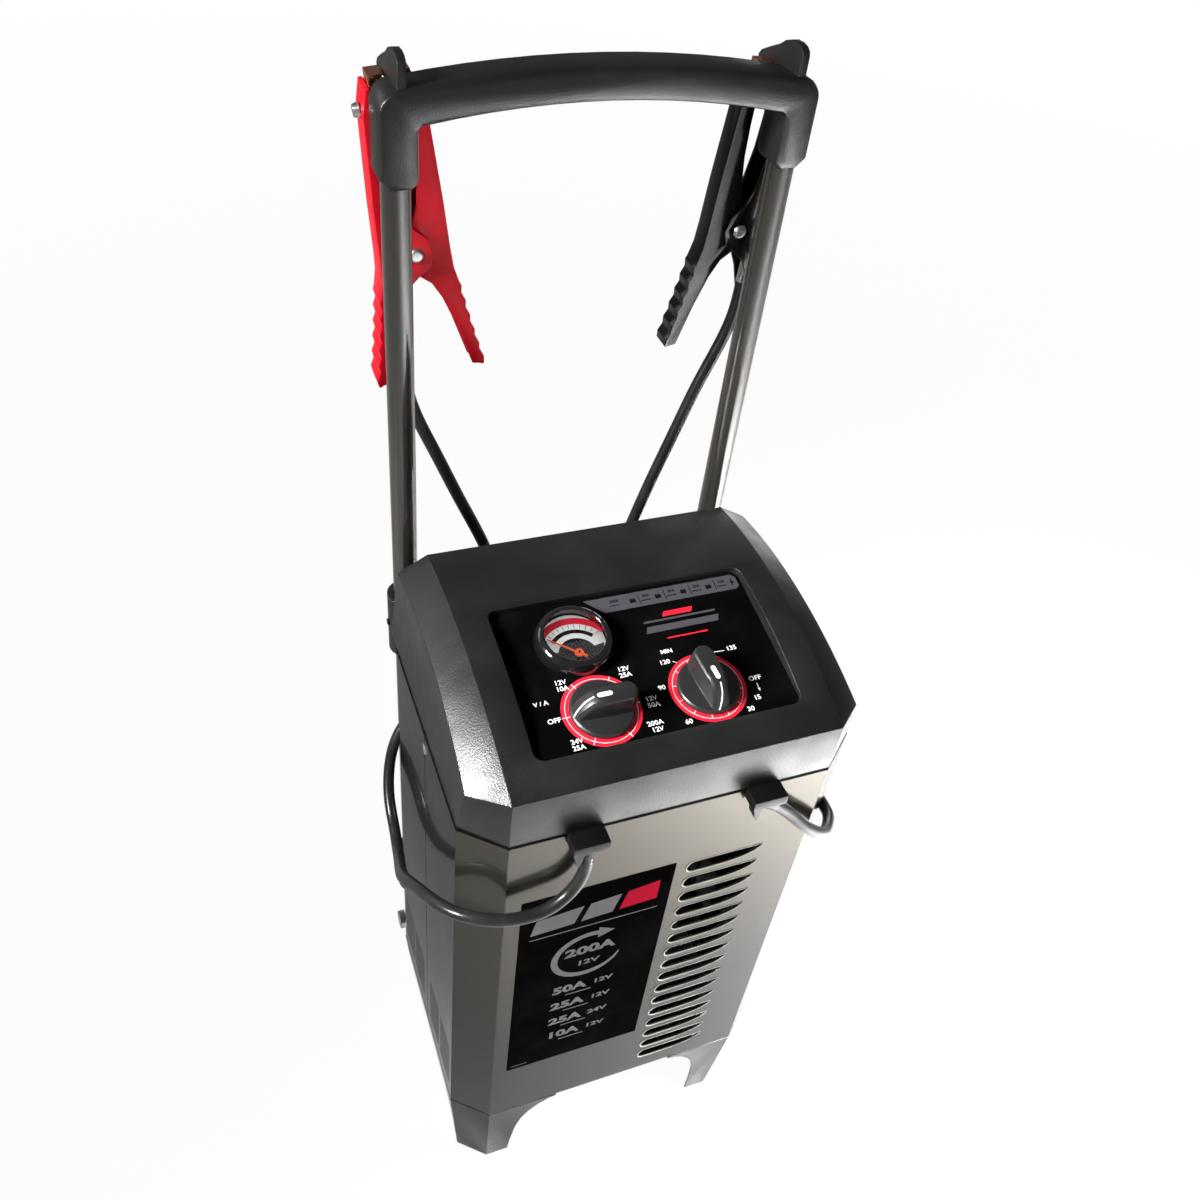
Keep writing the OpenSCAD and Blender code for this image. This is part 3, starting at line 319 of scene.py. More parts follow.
def coil_wrap():
    """Copper windings under varnished paper"""
    copper, gap = (0.5, 0.23, 0.08), (0.22, 0.08, 0.03)
    f = Finish("coil_wrap", copper, 0.36, 0.35, coat_weight=0.5, coat_roughness=0.2)
    turns = f.waves(220, "Z", 0.6)
    f.color(f.blend(turns, copper, gap))
    f.bump(turns, 0.0006)
    return f.mat


def print_ink(name, color, rough=0.35, shine=0.25):
    """Screen-printed ink: even, with a slightly mottled cover"""
    f = Finish(name, color, rough, specular_ior_level=shine)
    f.color(f.blend(f.ramp(f.noise(700, 3), 0.35, 0.7, 0, 0.5), color, tuple(c * 0.86 for c in color)))
    f.rough(f.ramp(f.noise(300), 0.3, 0.7, rough - 0.05, rough + 0.08))
    f.bump(f.noise(1200, 2), 0.00001)
    return f.mat


def printed_sheet():
    """Matt black film that carries the printing on the panel and the front label"""
    black, faded = (0.0015, 0.0015, 0.0016), (0.0035, 0.0035, 0.0038)
    f = Finish("printed_sheet", black, 0.5, specular_ior_level=0.0)
    f.color(f.blend(f.ramp(f.noise(25), 0.4, 0.8), black, faded))
    f.rough(f.ramp(f.noise(70), 0.35, 0.7, 0.42, 0.55))
    f.bump(f.noise(1800, 2), 0.000008)
    return f.mat


BLACK = (0.004, 0.004, 0.0045)
RED = (0.62, 0.012, 0.03)
WHITE = (0.86, 0.86, 0.84)
# Finish of each material slot of the record
MATERIALS = {
    "body_paint": body_paint(),
    "black_moulding": moulding("black_moulding", (0.0065, 0.0065, 0.0062), 0.36),
    "black_gloss": gloss("black_gloss", BLACK),
    "knob_black": moulding("knob_black", (0.012, 0.012, 0.012), 0.34, 1500, 0.00005),
    "dial_print": print_ink("dial_print", WHITE),
    "needle_orange": print_ink("needle_orange", (0.8, 0.09, 0.015)),
    "glass": clear_glass(),
    "tube_black": tube_enamel(),
    "zinc": plated("zinc", (0.62, 0.62, 0.6), 0.3, (1, 1, 6)),
    "clamp_red": moulding("clamp_red", (0.4, 0.003, 0.01), 0.34, 600, 0.00006, 0.12),
    "copper": plated("copper", (0.78, 0.36, 0.22), 0.26, (1, 6, 1), 0.00005),
    "tyre_rubber": rubber("tyre_rubber", (0.017, 0.017, 0.016), 0.6, 500),
    "lead_rubber": lead_jacket(),
    "core_steel": laminated_steel(),
    "coil_wrap": coil_wrap(),
    "alloy": plated("alloy", (0.6, 0.61, 0.62), 0.34, (6, 1, 1)),
    "switch_body": moulding("switch_body", (0.1, 0.075, 0.05), 0.45),
}
RED_INK = print_ink("red_ink", RED)
WHITE_INK = print_ink("white_ink", WHITE)
GREY_INK = print_ink("grey_ink", (0.048, 0.048, 0.054))
BLACK_INK = print_ink("black_ink", BLACK, 0.2)
LABEL_GREY = print_ink("label_grey", (0.12, 0.118, 0.118), shine=0.0)
LABEL_RED = print_ink("label_red", (0.3, 0.008, 0.022), shine=0.0)
# Near-black matt strips that paint the shadow in the seams of the shells
SHADOW_STRIP = moulding("joint_black", (0.001, 0.001, 0.001), 0.7, shine=0.02)
# Paler gloss on the louvre lips than on the body: a painted highlight along each louvre's edge
LIP_HIGHLIGHT = gloss("lip_paint", (0.2, 0.19, 0.17), 0.12)
PRINTED_SHEET = printed_sheet()
CLAMP_BLACK = gloss("clamp_black", (0.002, 0.002, 0.0022), 0.12, 0.12, 0.3)
RELIEF_BLACK = moulding("relief_black", (0.003, 0.003, 0.003), 0.3, 1200, 0.00005, 0.15)
SCREW_BLACK = plated("screw_black", (0.03, 0.03, 0.03), 0.35)

# ---------- leads ----------

LEAD_D = 9  # mm
RED_TILT, BLACK_TILT = 6.8, 3.4  # lean of the clamps off upright, degrees
CLAMP_X, CLAMP_DEPTH, JAW_Z, PIVOT_DROP = 121, 266, 884, 108  # mm
CRIMP_X, CRIMP_Z = 18, (-66, -42)  # mm from the pivot, where the lead enters its crimp
LEAD_STEP = 0.004  # metres
LEAD_ROUND = 5  # Blender's count of steps round a tube


def clamp_point(tilt, across, up, side=1):
    """Point of a clamp, measured from its pivot, in the millimetres that at() takes"""
    lean = math.radians(tilt)
    reach = up - PIVOT_DROP
    return (side * (CLAMP_X + across * math.cos(lean) + reach * math.sin(lean)), CLAMP_DEPTH,
            JAW_Z - across * math.sin(lean) + reach * math.cos(lean))


# The routes of part.scad, from the strain reliefs to the crimps, in millimetres
RED_END = [clamp_point(RED_TILT, CRIMP_X, z, -1) for z in CRIMP_Z]
BLACK_END = [clamp_point(BLACK_TILT, CRIMP_X, z) for z in CRIMP_Z]
RED_ROUTE = [
    (-64, -8, 491), (-64, -8, 478), (-67, -9, 465), (-75, -10, 452), (-88, -12, 444), (-104, -12, 441),
    (-121, -10, 442), (-138, -4, 444), (-152, 9, 441), (-161, 28, 432), (-165, 48, 416),
    (-167, 69, 395), (-165, 92, 371), (-161, 116, 350), (-158, 138, 338), (-156, 158, 336),
    (-155, 176, 344), (-152, 191, 358), (-146, 202, 376), (-136, 209, 393), (-121, 213, 405),
    (-103, 214, 409), (-86, 214, 402), (-75, 214, 386), (-70, 214, 360), (-69, 214, 310),
    (-69, 214, 256), (-69, 214, 222), (-67, 214, 196), (-56, 214, 175), (-37, 214, 166),
    (-17, 216, 172), (-5, 218, 190), (-2, 221, 216), (-4, 227, 270), (-12, 234, 338),
    (-23, 240, 402), (-39, 246, 466), (-59, 251, 536), (-79, 255, 584), (-97, 259, 628),
    (-112, 263, 668),
    *RED_END]
BLACK_ROUTE = [
    (71.07, -8, 493.93), (78, -8, 487), (89, -9, 475), (101, -11, 461), (113, -11, 449), (126, -7, 437),
    (138, 4, 427), (147, 17, 420), (150, 36, 416), (151, 62, 415), (151, 90, 416), (151, 118, 414),
    (151, 144, 407), (151, 168, 396), (148, 189, 382), (139, 205, 366), (128, 213, 344),
    (118, 216, 314), (109, 216, 280), (103, 214, 246), (98, 214, 214), (91, 214, 186),
    (76, 214, 166), (53, 214, 159), (31, 215, 168), (18, 218, 194), (15, 222, 240), (17, 227, 298),
    (22, 233, 352), (32, 239, 410), (45, 246, 466), (61, 252, 520), (78, 257, 570), (95, 261, 616),
    (110, 264, 656),
    *BLACK_END]


def smooth(points, step):
    """Points a step apart on the natural cubic spline through a list of points"""
    p = np.array(points)
    t = np.concatenate([[0], np.cumsum(np.linalg.norm(np.diff(p, axis=0), axis=1))])
    h = np.diff(t)[:, None]
    slope = np.diff(p, axis=0) / h
    system = np.eye(len(p))
    right = np.zeros_like(p)
    for i in range(1, len(p) - 1):
        system[i, i - 1:i + 2] = h[i - 1, 0], 2 * (h[i - 1, 0] + h[i, 0]), h[i, 0]
        right[i] = 6 * (slope[i] - slope[i - 1])
    bend = np.linalg.solve(system, right)
    places = np.linspace(0, t[-1], int(t[-1] / step) + 1)
    seg = np.clip(np.searchsorted(t, places, side="right") - 1, 0, len(p) - 2)
    a = (places - t[seg])[:, None]
    b = (t[seg + 1] - places)[:, None]
    w = h[seg]
    return ((bend[seg] * b ** 3 + bend[seg + 1] * a ** 3) / (6 * w)
            + (p[seg] / w - bend[seg] * w / 6) * b + (p[seg + 1] / w - bend[seg + 1] * w / 6) * a)


def make_lead(name, route):
    """One free lead as a round tube on a smooth curve"""
    points = smooth([at(*p) for p in route], LEAD_STEP)
    data = bpy.data.curves.new(name, "CURVE")
    data.dimensions = "3D"
    data.bevel_depth = LEAD_D * MM / 2
    data.bevel_resolution = LEAD_ROUND
    data.use_fill_caps = True
    spline = data.splines.new("POLY")
    spline.points.add(len(points) - 1)
    for place, point in zip(spline.points, points):
        place.co = (*point, 1)
    spline.use_smooth = True
    lead = bpy.data.objects.new(name, data)
    bpy.context.collection.objects.link(lead)
    data.materials.append(MATERIALS["lead_rubber"])
    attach(lead, "charger")
    return lead


red_lead = make_lead("red_lead", RED_ROUTE)
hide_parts("red_cable")
black_lead = make_lead("black_lead", BLACK_ROUTE)
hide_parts("black_cable")

# ---------- finishes on the CAD nodes, and edges rolled over ----------

# Bodies of the nodes that move; all others ride on the charger itself
BODY_OF = {
    "selector_knob": "selector", "timer_knob": "timer", "meter_needle": "needle",
    "left_wheel": "left_wheel_set", "left_tyre": "left_wheel_set",
    "right_wheel": "right_wheel_set", "right_tyre": "right_wheel_set"}
for side in ("red", "black"):
    for part in ("moving_arm", "moving_jaw", "moving_bolt"):
        BODY_OF[f"{side}_{part}"] = f"{side}_jaw_side"

# Radius in millimetres and least angle of the edges that are rolled over
ROLLED = {
    "top_cover": (1.1, 8), "handle_grip": (1.6, 25), "selector_knob": (0.5, 28), "timer_knob": (0.5, 28),
    "left_foot": (0.35, 25), "right_foot": (0.35, 25), "tube_brackets": (0.5, 28),
    "left_strain_relief": (0.4, 28), "right_strain_relief": (0.4, 28),
    "left_wheel": (0.8, 28), "right_wheel": (0.8, 28), "meter_bezel": (0.3, 35)}
for side in ("red", "black"):
    ROLLED |= {f"{side}_fixed_arm": (1.0, 25), f"{side}_moving_arm": (1.0, 25),
               f"{side}_fixed_jaw": (0.35, 30), f"{side}_moving_jaw": (0.35, 30),
               f"{side}_rivet": (0.5, 30), f"{side}_crimp": (0.3, 30)}

WELD = 0.00002  # metres, within which points of a CAD mesh are one
FLAT_BEND, ROLL_STEPS = 0.5, 3  # degrees; faces round a rolled edge


def apply_modifiers(piece):
    """Bakes a piece's modifiers into its mesh"""
    graph = bpy.context.evaluated_depsgraph_get()
    done = bpy.data.meshes.new_from_object(piece.evaluated_get(graph))
    piece.modifiers.clear()
    piece.data = done


def dress(piece, material):
    """Gives a piece one material"""
    piece.data.materials.clear()
    piece.data.materials.append(material)


def rolled(node, radius, angle):
    """Copy of a CAD node with its sharp edges rolled over, which stands for the node"""
    source = frame["nodes"][node]
    mesh = bpy.data.meshes.new(node + "_finished")
    bm = bmesh.new()
    bm.from_mesh(source.data)
    bmesh.ops.remove_doubles(bm, verts=bm.verts, dist=WELD)
    bmesh.ops.dissolve_limit(bm, angle_limit=math.radians(FLAT_BEND), verts=bm.verts, edges=bm.edges)
    for face in bm.faces:
        face.smooth = True
    bm.to_mesh(mesh)
    bm.free()
    piece = bpy.data.objects.new(node + "_finished", mesh)
    bpy.context.collection.objects.link(piece)
    bevel = piece.modifiers.new("edges", "BEVEL")
    bevel.width = radius * MM
    bevel.segments = ROLL_STEPS
    bevel.limit_method = "ANGLE"
    bevel.angle_limit = math.radians(angle)
    bevel.harden_normals = True
    apply_modifiers(piece)
    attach(piece, BODY_OF.get(node, "charger"))
    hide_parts(node)
    return piece


# Nodes whose finish differs from the one that their slot's other nodes have
OTHER_FINISH = {
    "black_fixed_arm": CLAMP_BLACK, "black_moving_arm": CLAMP_BLACK,
    "control_panel": PRINTED_SHEET, "front_label": PRINTED_SHEET, "bracket_screws": SCREW_BLACK,
    "left_strain_relief": RELIEF_BLACK, "right_strain_relief": RELIEF_BLACK,
    "red_crimp": MATERIALS["zinc"], "black_crimp": MATERIALS["zinc"]}

for node, part in frame["nodes"].items():
    if node in ("red_cable", "black_cable"):
        continue
    slot = part.data.materials[0].name.split(".")[0]
    material = OTHER_FINISH.get(node, MATERIALS[slot])
    if node in ROLLED:
        part = rolled(node, *ROLLED[node])
        dress(part, material)
    else:
        for place in part.material_slots:
            place.material = material

# ---------- printing ----------

PANEL_DEPTH, PANEL_Z, PANEL_SLOPE = 22, 556.77, 10  # lower edge in mm, and degrees
LABEL_DEPTH = -0.4  # mm
# Planes of the printing: x runs across, y up the slope of the panel or up from the floor on the label
PANEL = Matrix.Translation(at(0, PANEL_DEPTH, PANEL_Z)) @ Matrix.Rotation(math.radians(PANEL_SLOPE), 4, "X")
LABEL = Matrix.Translation(at(0, LABEL_DEPTH, 0)) @ Matrix.Rotation(math.radians(90), 4, "X")
INK = 0.08  # thickness of a printed mark, mm
FONT_STEPS = 3  # points along each curve of a letter


class Ink:
    """Thin printed marks of one colour, drawn in millimetres on a plane and made as one piece"""

    def __init__(self, name, place, material, body="charger", thick=INK, lift=0.0):
        self.name, self.place, self.material, self.body = name, place, material, body
        self.low, self.high = lift, lift + thick
        self.bm = bmesh.new()

    def loop(self, points, height):
        """Corners of an outline at a height over the plane"""
        return [self.bm.verts.new((x, y, height)) for x, y in points]

    def band(self, first, second):
        """Closed band of faces between two loops of equally many points"""
        for i in range(len(first)):
            j = (i + 1) % len(first)
            self.bm.faces.new((first[i], first[j], second[j], second[i]))

    def shape(self, points, inner=None):
        """Filled outline; with an inner loop of equally many points, the band between the two"""
        bottom, top = self.loop(points, self.low), self.loop(points, self.high)
        self.band(bottom, top)
        if inner is None:
            self.bm.faces.new(bottom[::-1])
            self.bm.faces.new(top)
            return
        inner_bottom, inner_top = self.loop(inner, self.low), self.loop(inner, self.high)
        self.band(top, inner_top)
        self.band(inner_top, inner_bottom)
        self.band(inner_bottom, bottom)

    def ring(self, x, y, inner, outer, steps=96):
        """Band all round a point"""
        circle = [(math.cos(TAU * i / steps), math.sin(TAU * i / steps)) for i in range(steps)]
        self.shape([(x + outer * c, y + outer * s) for c, s in circle],
                   [(x + inner * c, y + inner * s) for c, s in circle])

    def arc(self, x, y, inner, outer, start, end, steps=32):
        """Band round a point, from one angle to another in degrees"""
        turn = [math.radians(start + (end - start) * i / steps) for i in range(steps + 1)]
        self.shape([(x + outer * math.cos(a), y + outer * math.sin(a)) for a in turn]
                   + [(x + inner * math.cos(a), y + inner * math.sin(a)) for a in turn[::-1]])

    def line(self, start, end, width):
        """Straight line with square ends"""
        a, b = Vector(start), Vector(end)
        side = (b - a).orthogonal().normalized() * width / 2
        self.shape([tuple(p) for p in (a - side, b - side, b + side, a + side)][::-1])

    def box(self, x, y, width, height, slant=0.0):
        """Upright or slanted bar about its middle"""
        w, h = width / 2, height / 2
        self.shape([(x - w - slant, y - h), (x + w - slant, y - h), (x + w + slant, y + h),
                    (x - w + slant, y + h)])

    def text(self, words, x, y, size, wide=1.08, bold=0.014):
        """Block figures and letters, centred; wide stretches them and bold thickens them"""
        data = bpy.data.curves.new("words", "FONT")
        data.body = words
        data.size = size
        data.align_x = "CENTER"
        data.align_y = "CENTER"
        data.offset = size * bold
        data.extrude = (self.high - self.low) / 2
        data.resolution_u = FONT_STEPS
        carrier = bpy.data.objects.new("words", data)
        bpy.context.collection.objects.link(carrier)
        graph = bpy.context.evaluated_depsgraph_get()
        mesh = bpy.data.meshes.new_from_object(carrier.evaluated_get(graph))
        mesh.transform(Matrix.Translation((x, y, (self.low + self.high) / 2))
                       @ Matrix.Diagonal((wide, 1, 1, 1)))
        self.bm.from_mesh(mesh)
        bpy.data.objects.remove(carrier)
        bpy.data.meshes.remove(mesh)

    def make(self):
        """Turns what was drawn into one piece that rides on its body"""
        bmesh.ops.recalc_face_normals(self.bm, faces=self.bm.faces)
        mesh = bpy.data.meshes.new(self.name)
        self.bm.to_mesh(mesh)
        self.bm.free()
        mesh.transform(self.place @ Matrix.Scale(MM, 4))
        piece = bpy.data.objects.new(self.name, mesh)
        bpy.context.collection.objects.link(piece)
        dress(piece, self.material)
        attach(piece, self.body)


def around(centre, angle, radius):
    """Point at an angle in degrees round a centre"""
    a = math.radians(angle)
    return centre[0] + radius * math.cos(a), centre[1] + radius * math.sin(a)


# All places and sizes of the printing are in millimetres
SELECTOR, TIMER, METER = (-40.5, 27), (35, 27), (-42, 81)
RING_IN, RING_OUT = 20.5, 26.8
FINE_RING = (23.9, 24.2)
TICK_IN, TIMER_TICK_OUT, TICK_WIDTH, LEADER_WIDTH = 21, 24, 0.4, 0.35
SELECTOR_TICKS = (180, 120, 60, 0, -60, -120)  # degrees
TIMER_TICKS = range(15, 360, 30)  # degrees
# Type: the words, and the middle of each
FIGURE_SIZE, CAPTION_SIZE = 4.8, 4.4
FIGURES = (
    ("12V", -60.3, 53.2), ("10A", -60.3, 48.4), ("12V", -15.9, 53.8), ("25A", -15.9, 49),
    ("12V", -5.6, 27.7), ("50A", -5.6, 22.9), ("24V", -63.5, 8.9), ("25A", -63.5, 4.3),
    ("200A", -9.6, 9.6), ("12V", -9.6, 4.8), ("OFF", -72.8, 26.5), ("120", 13.6, 52.4), ("135", 63.5, 52.8),
    ("90", 4.4, 33.8), ("60", 12.6, 5.2), ("30", 57.2, 4.4), ("15", 65.2, 11.6), ("OFF", 69.7, 26.2))
CAPTIONS = (("MIN", 18, 60.4), ("V / A", -77.5, 40.6))
LEADERS = (((19.2, 51.8), 120), ((57.8, 52), 75))  # from 120 and 135 to angles on the timer's ring
OFF_ARROW = ((69.3, 22.4), (69.3, 17.6))
OFF_ARROW_TIP = ((68.4, 18.4), (69.3, 15.8), (70.2, 18.4))
# Strip along the panel's upper edge: its outline, the rules between its fields and the marks in them
STRIP = ((-12.5, 100), (88, 100), (91, 102), (91, 110), (88, 112.6), (-24.5, 112.6))
STRIP_BOLT = ((87.5, 109.6), (85.3, 105.9), (86.7, 105.9), (85.6, 102.8), (88.7, 106.8), (87.2, 106.8))
STRIP_RULES = (15, 34.5, 54, 73.5)
STRIP_WORDS = (("200A", -3), ("50A", 20.5), ("25A", 40), ("25A", 59.5), ("10A", 79))
STRIP_BATTERIES = (10.2, 29.2, 48.6, 68.2)
# Height of the middle and size of each of them; boldness of the words, and how far left their rule sits
FIELD_RULE, WORD, WORD_RULE = (106.4, 0.5, 8.4), (108.2, 2.9), (104.6, 7.2, 0.7)
BATTERY, POLE = (105.6, 4.2, 3.0), (107.5, 0.9, 0.8)
WORD_BOLD, RULE_LEFT = 0.03, 0.6
# Bars in the middle of the panel: middle, width, height and slant
GREY_BARS = ((38, 86, 54, 1.6, 0.4), (38, 79.5, 54, 5.2, 1.2))
RED_BARS = ((38, 90.5, 22, 4, 1), (38, 70.6, 30, 1.1))


def print_panel():
    """Rings, figures and ratings of the control panel, with plain bars in the middle"""
    red = Ink("panel_red_rings", PANEL, RED_INK)
    white = Ink("panel_white_print", PANEL, WHITE_INK, lift=INK)
    grey = Ink("panel_grey_strip", PANEL, GREY_INK)
    dark = Ink("panel_strip_marks", PANEL, BLACK_INK, lift=INK)
    for centre in (SELECTOR, TIMER):
        red.ring(*centre, RING_IN, RING_OUT)
        white.ring(*centre, *FINE_RING)
    for angle in SELECTOR_TICKS:
        white.line(around(SELECTOR, angle, TICK_IN), around(SELECTOR, angle, RING_OUT), TICK_WIDTH)
    for angle in TIMER_TICKS:
        white.line(around(TIMER, angle, TICK_IN), around(TIMER, angle, TIMER_TICK_OUT), TICK_WIDTH)
    for marks, size in ((FIGURES, FIGURE_SIZE), (CAPTIONS, CAPTION_SIZE)):
        for words, x, y in marks:
            white.text(words, x, y, size)
    for start, angle in LEADERS:
        white.line(start, around(TIMER, angle, RING_OUT), LEADER_WIDTH)
    white.line(*OFF_ARROW, LEADER_WIDTH)
    white.shape(OFF_ARROW_TIP)
    # strip with a field for each range: a rating over a rule, and a battery before the next one
    grey.shape(STRIP)
    for x in STRIP_RULES:
        dark.box(x, *FIELD_RULE)
    for words, x in STRIP_WORDS:
        dark.text(words, x, *WORD, bold=WORD_BOLD)
        dark.box(x - RULE_LEFT, *WORD_RULE)
    for x in STRIP_BATTERIES:
        dark.box(x, *BATTERY)
        for pole in (-1, 1):
            dark.box(x + pole, *POLE)
    dark.shape(STRIP_BOLT)
    bars = Ink("panel_bars", PANEL, GREY_INK)
    accent = Ink("panel_accent", PANEL, RED_INK)
    for ink, places in ((bars, GREY_BARS), (accent, RED_BARS)):
        for place in places:
            ink.box(*place)
    for ink in (red, white, grey, dark, bars, accent):
        ink.make()


# Label: the arrow round the largest rating, the slanted bands, and the list of the other ratings
ARROW_CENTRE, ARROW_ACROSS, ARROW_UP, ARROW_WIDTH = (-47, 345), 26.5, 27.5, 5.2
ARROW_TURN, TAIL_POINTS, TAIL_WIDTH = range(74, 345, 6), 12, 0.12  # degrees, points, share of the width
ARROW_HEAD = ((-41, 378.5), (-28.5, 371), (-41, 364.5))
GREY_BANDS = (((-95, 392), (-62, 394), (-56, 414), (-91, 410)),
              ((-57, 394.4), (-33, 396), (-28, 416.6), (-51, 414.4)))
RED_BAND = ((-28, 396.4), (1, 398), (1, 421), (-23, 417.4))
HEAD_RULE, FOOT_RULE = (-46, 386, 98, 1.1), (-93, 192, 13, 0.8)
RATINGS = ((299.5, "50A", "12V"), (275, "25A", "12V"), (250.5, "25A", "24V"), (227, "10A", "12V"))
LARGE_X, LARGE_AMPS_Z, LARGE_VOLTS_Z = -46, 351.5, 333.5
AMPS_X, VOLTS_X, RULE_X, RULE_SIZE = -58, -30.5, -50, (21, 1.1)
VOLTS_DROP, RULE_DROP = 0.6, 9.6  # below the middle of the amperes
# Size, stretch and boldness of the type
LARGE_AMPS, LARGE_VOLTS = (14.5, 1.25, 0.04), (8.8, 1.3, 0.03)
AMPS, VOLTS = (13.5, 1.2, 0.04), (8.4, 1.2, 0.03)


def turning_arrow(ink):
    """Band on most of an oval, thinned at its tail, with a head"""
    cx, cz = ARROW_CENTRE
    turn = [math.radians(angle) for angle in ARROW_TURN]
    points = [Vector((cx + ARROW_ACROSS * math.cos(a), cz + ARROW_UP * math.sin(a))) for a in turn]
    left, right = [], []
    for i, p in enumerate(points):
        ahead = points[min(i + 1, len(points) - 1)] - points[max(i - 1, 0)]
        width = ARROW_WIDTH * min(1, (len(points) - i) / TAIL_POINTS + TAIL_WIDTH)
        out = ahead.orthogonal().normalized() * width / 2
        left.append(tuple(p + out))
        right.append(tuple(p - out))
    ink.shape(left + right[::-1])
    ink.shape(ARROW_HEAD)


def print_label():
    """Slanted bands, a turning arrow round the largest rating, and the list of the others"""
    pale = Ink("label_grey_print", LABEL, LABEL_GREY)
    red = Ink("label_red_band", LABEL, LABEL_RED)
    for band in GREY_BANDS:
        pale.shape(band)
    red.shape(RED_BAND)
    pale.box(*HEAD_RULE)
    turning_arrow(pale)
    pale.text("200A", LARGE_X, LARGE_AMPS_Z, *LARGE_AMPS)
    pale.text("12V", LARGE_X, LARGE_VOLTS_Z, *LARGE_VOLTS)
    for height, amps, volts in RATINGS:
        pale.text(amps, AMPS_X, height, *AMPS)
        pale.text(volts, VOLTS_X, height - VOLTS_DROP, *VOLTS)
        pale.box(RULE_X, height - RULE_DROP, *RULE_SIZE)
    pale.box(*FOOT_RULE)
    pale.make()
    red.make()


DIAL_HEIGHT, DIAL_R, HUMP_R = 1.8, 20.6, 13.5  # mm over the panel; radii of the face and its dark hump
NEEDLE_PIVOT, HUMP_FOOT = (0, -11), ((20, -5), (-20, -5))
RIM_TURN, HUMP_TURN = range(198, 343, 6), range(20, 161, 7)  # degrees
# Inner and outer radius, first and last angle
RED_ARC, BLACK_ARC = (25, 30, 34, 147), (17.5, 20.5, 42, 138)
DIAL_TICKS, DIAL_TICK_IN, DIAL_TICK_OUT = range(40, 145, 10), 21.5, 24.5


def print_dial():
    """Face of the meter: white sector with a red arc, a black arc and ticks, over a dark lower half"""
    place = PANEL @ Matrix.Translation(Vector((*METER, DIAL_HEIGHT)) * MM)
    dark = Ink("meter_lower_face", place, BLACK_INK)
    rim = [around((0, 0), a, DIAL_R) for a in RIM_TURN]
    hump = [around(NEEDLE_PIVOT, a, HUMP_R) for a in HUMP_TURN]
    right_foot, left_foot = HUMP_FOOT
    dark.shape([*rim, right_foot, *hump, left_foot])
    red = Ink("meter_red_arc", place, RED_INK)
    red.arc(*NEEDLE_PIVOT, *RED_ARC)
    black = Ink("meter_black_arc", place, BLACK_INK)
    black.arc(*NEEDLE_PIVOT, *BLACK_ARC)
    for angle in DIAL_TICKS:
        black.line(around(NEEDLE_PIVOT, angle, DIAL_TICK_IN), around(NEEDLE_PIVOT, angle, DIAL_TICK_OUT),
                   LEADER_WIDTH)
    for ink in (dark, red, black):
        ink.make()


print_panel()
print_label()
print_dial()

# ---------- marks on the knobs ----------

# Shape of a knob's bar, in millimetres over the panel and from the knob's axis
BAR_TOP, SKIRT_TOP, NOSE_FOOT = 20.0, 4.0, 3
NOSE_START, NOSE_END, NOSE_CURVE = 8.0, 20.5, 1.6
CAPSULE_START, CAPSULE_END, CAPSULE_HALF, CAPSULE_THICK = -4.0, 6.4, 1.6, 0.2
LINE_HALF, LINE_THICK, LINE_LIFT, LINE_LEAD_IN, LINE_STEPS = 0.45, 0.4, 0.12, 2.5, 12
BEND_FROM, BEND = 0.35, 4.2  # share of the line where it leaves the middle, and how strongly


def knob_capsule(name, place, body):
    """White capsule along the top of a knob's bar"""
    mark = Ink(name, place, WHITE_INK, body, thick=CAPSULE_THICK, lift=BAR_TOP)
    ends = ((CAPSULE_END - CAPSULE_HALF, -90), (CAPSULE_START + CAPSULE_HALF, 90))
    mark.shape([around((x, 0), angle, CAPSULE_HALF)
                for x, first in ends for angle in range(first, first + 181, 15)])
    mark.make()


def knob_line(name, place, body, side):
    """White line down the nose, from the capsule to the skirt, that bends off the middle to one side"""
    line = Ink(name, place, WHITE_INK, body)
    section = ((0, -LINE_HALF), (0, LINE_HALF), (-LINE_THICK, LINE_HALF), (-LINE_THICK, -LINE_HALF))
    rows = []
    for i in range(LINE_STEPS + 1):
        t = i / LINE_STEPS
        z = BAR_TOP + LINE_LIFT + (SKIRT_TOP - BAR_TOP) * t
        rise = (z - NOSE_FOOT) / (BAR_TOP - NOSE_FOOT)
        x = NOSE_END - (NOSE_END - NOSE_START) * rise ** NOSE_CURVE + LINE_LIFT
        if i == 0:
            x = NOSE_START - LINE_LEAD_IN
        y = side * max(0, t - BEND_FROM) * BEND
        rows.append([line.bm.verts.new((x + out, y + across, z + out / 2)) for out, across in section])
    for row, following in zip(rows, rows[1:]):
        line.band(row, following)
    line.bm.faces.new(rows[0][::-1])
    line.bm.faces.new(rows[-1])
    line.make()


def knob_mark(name, centre, rest, body, side):
    """Pointer of a knob, which turns with it; rest is where it points at rest, in degrees"""
    place = (PANEL @ Matrix.Translation(Vector((*centre, 0)) * MM)
             @ Matrix.Rotation(math.radians(rest), 4, "Z"))
    knob_capsule(name, place, body)
    knob_line(name + "_line", place, body, side)


knob_mark("selector_mark", SELECTOR, 180, "selector", 1)
knob_mark("timer_mark", TIMER, -85, "timer", -1)

# ---------- painted shadows in the seams, and pressed edges of the shells with a painted highlight ---

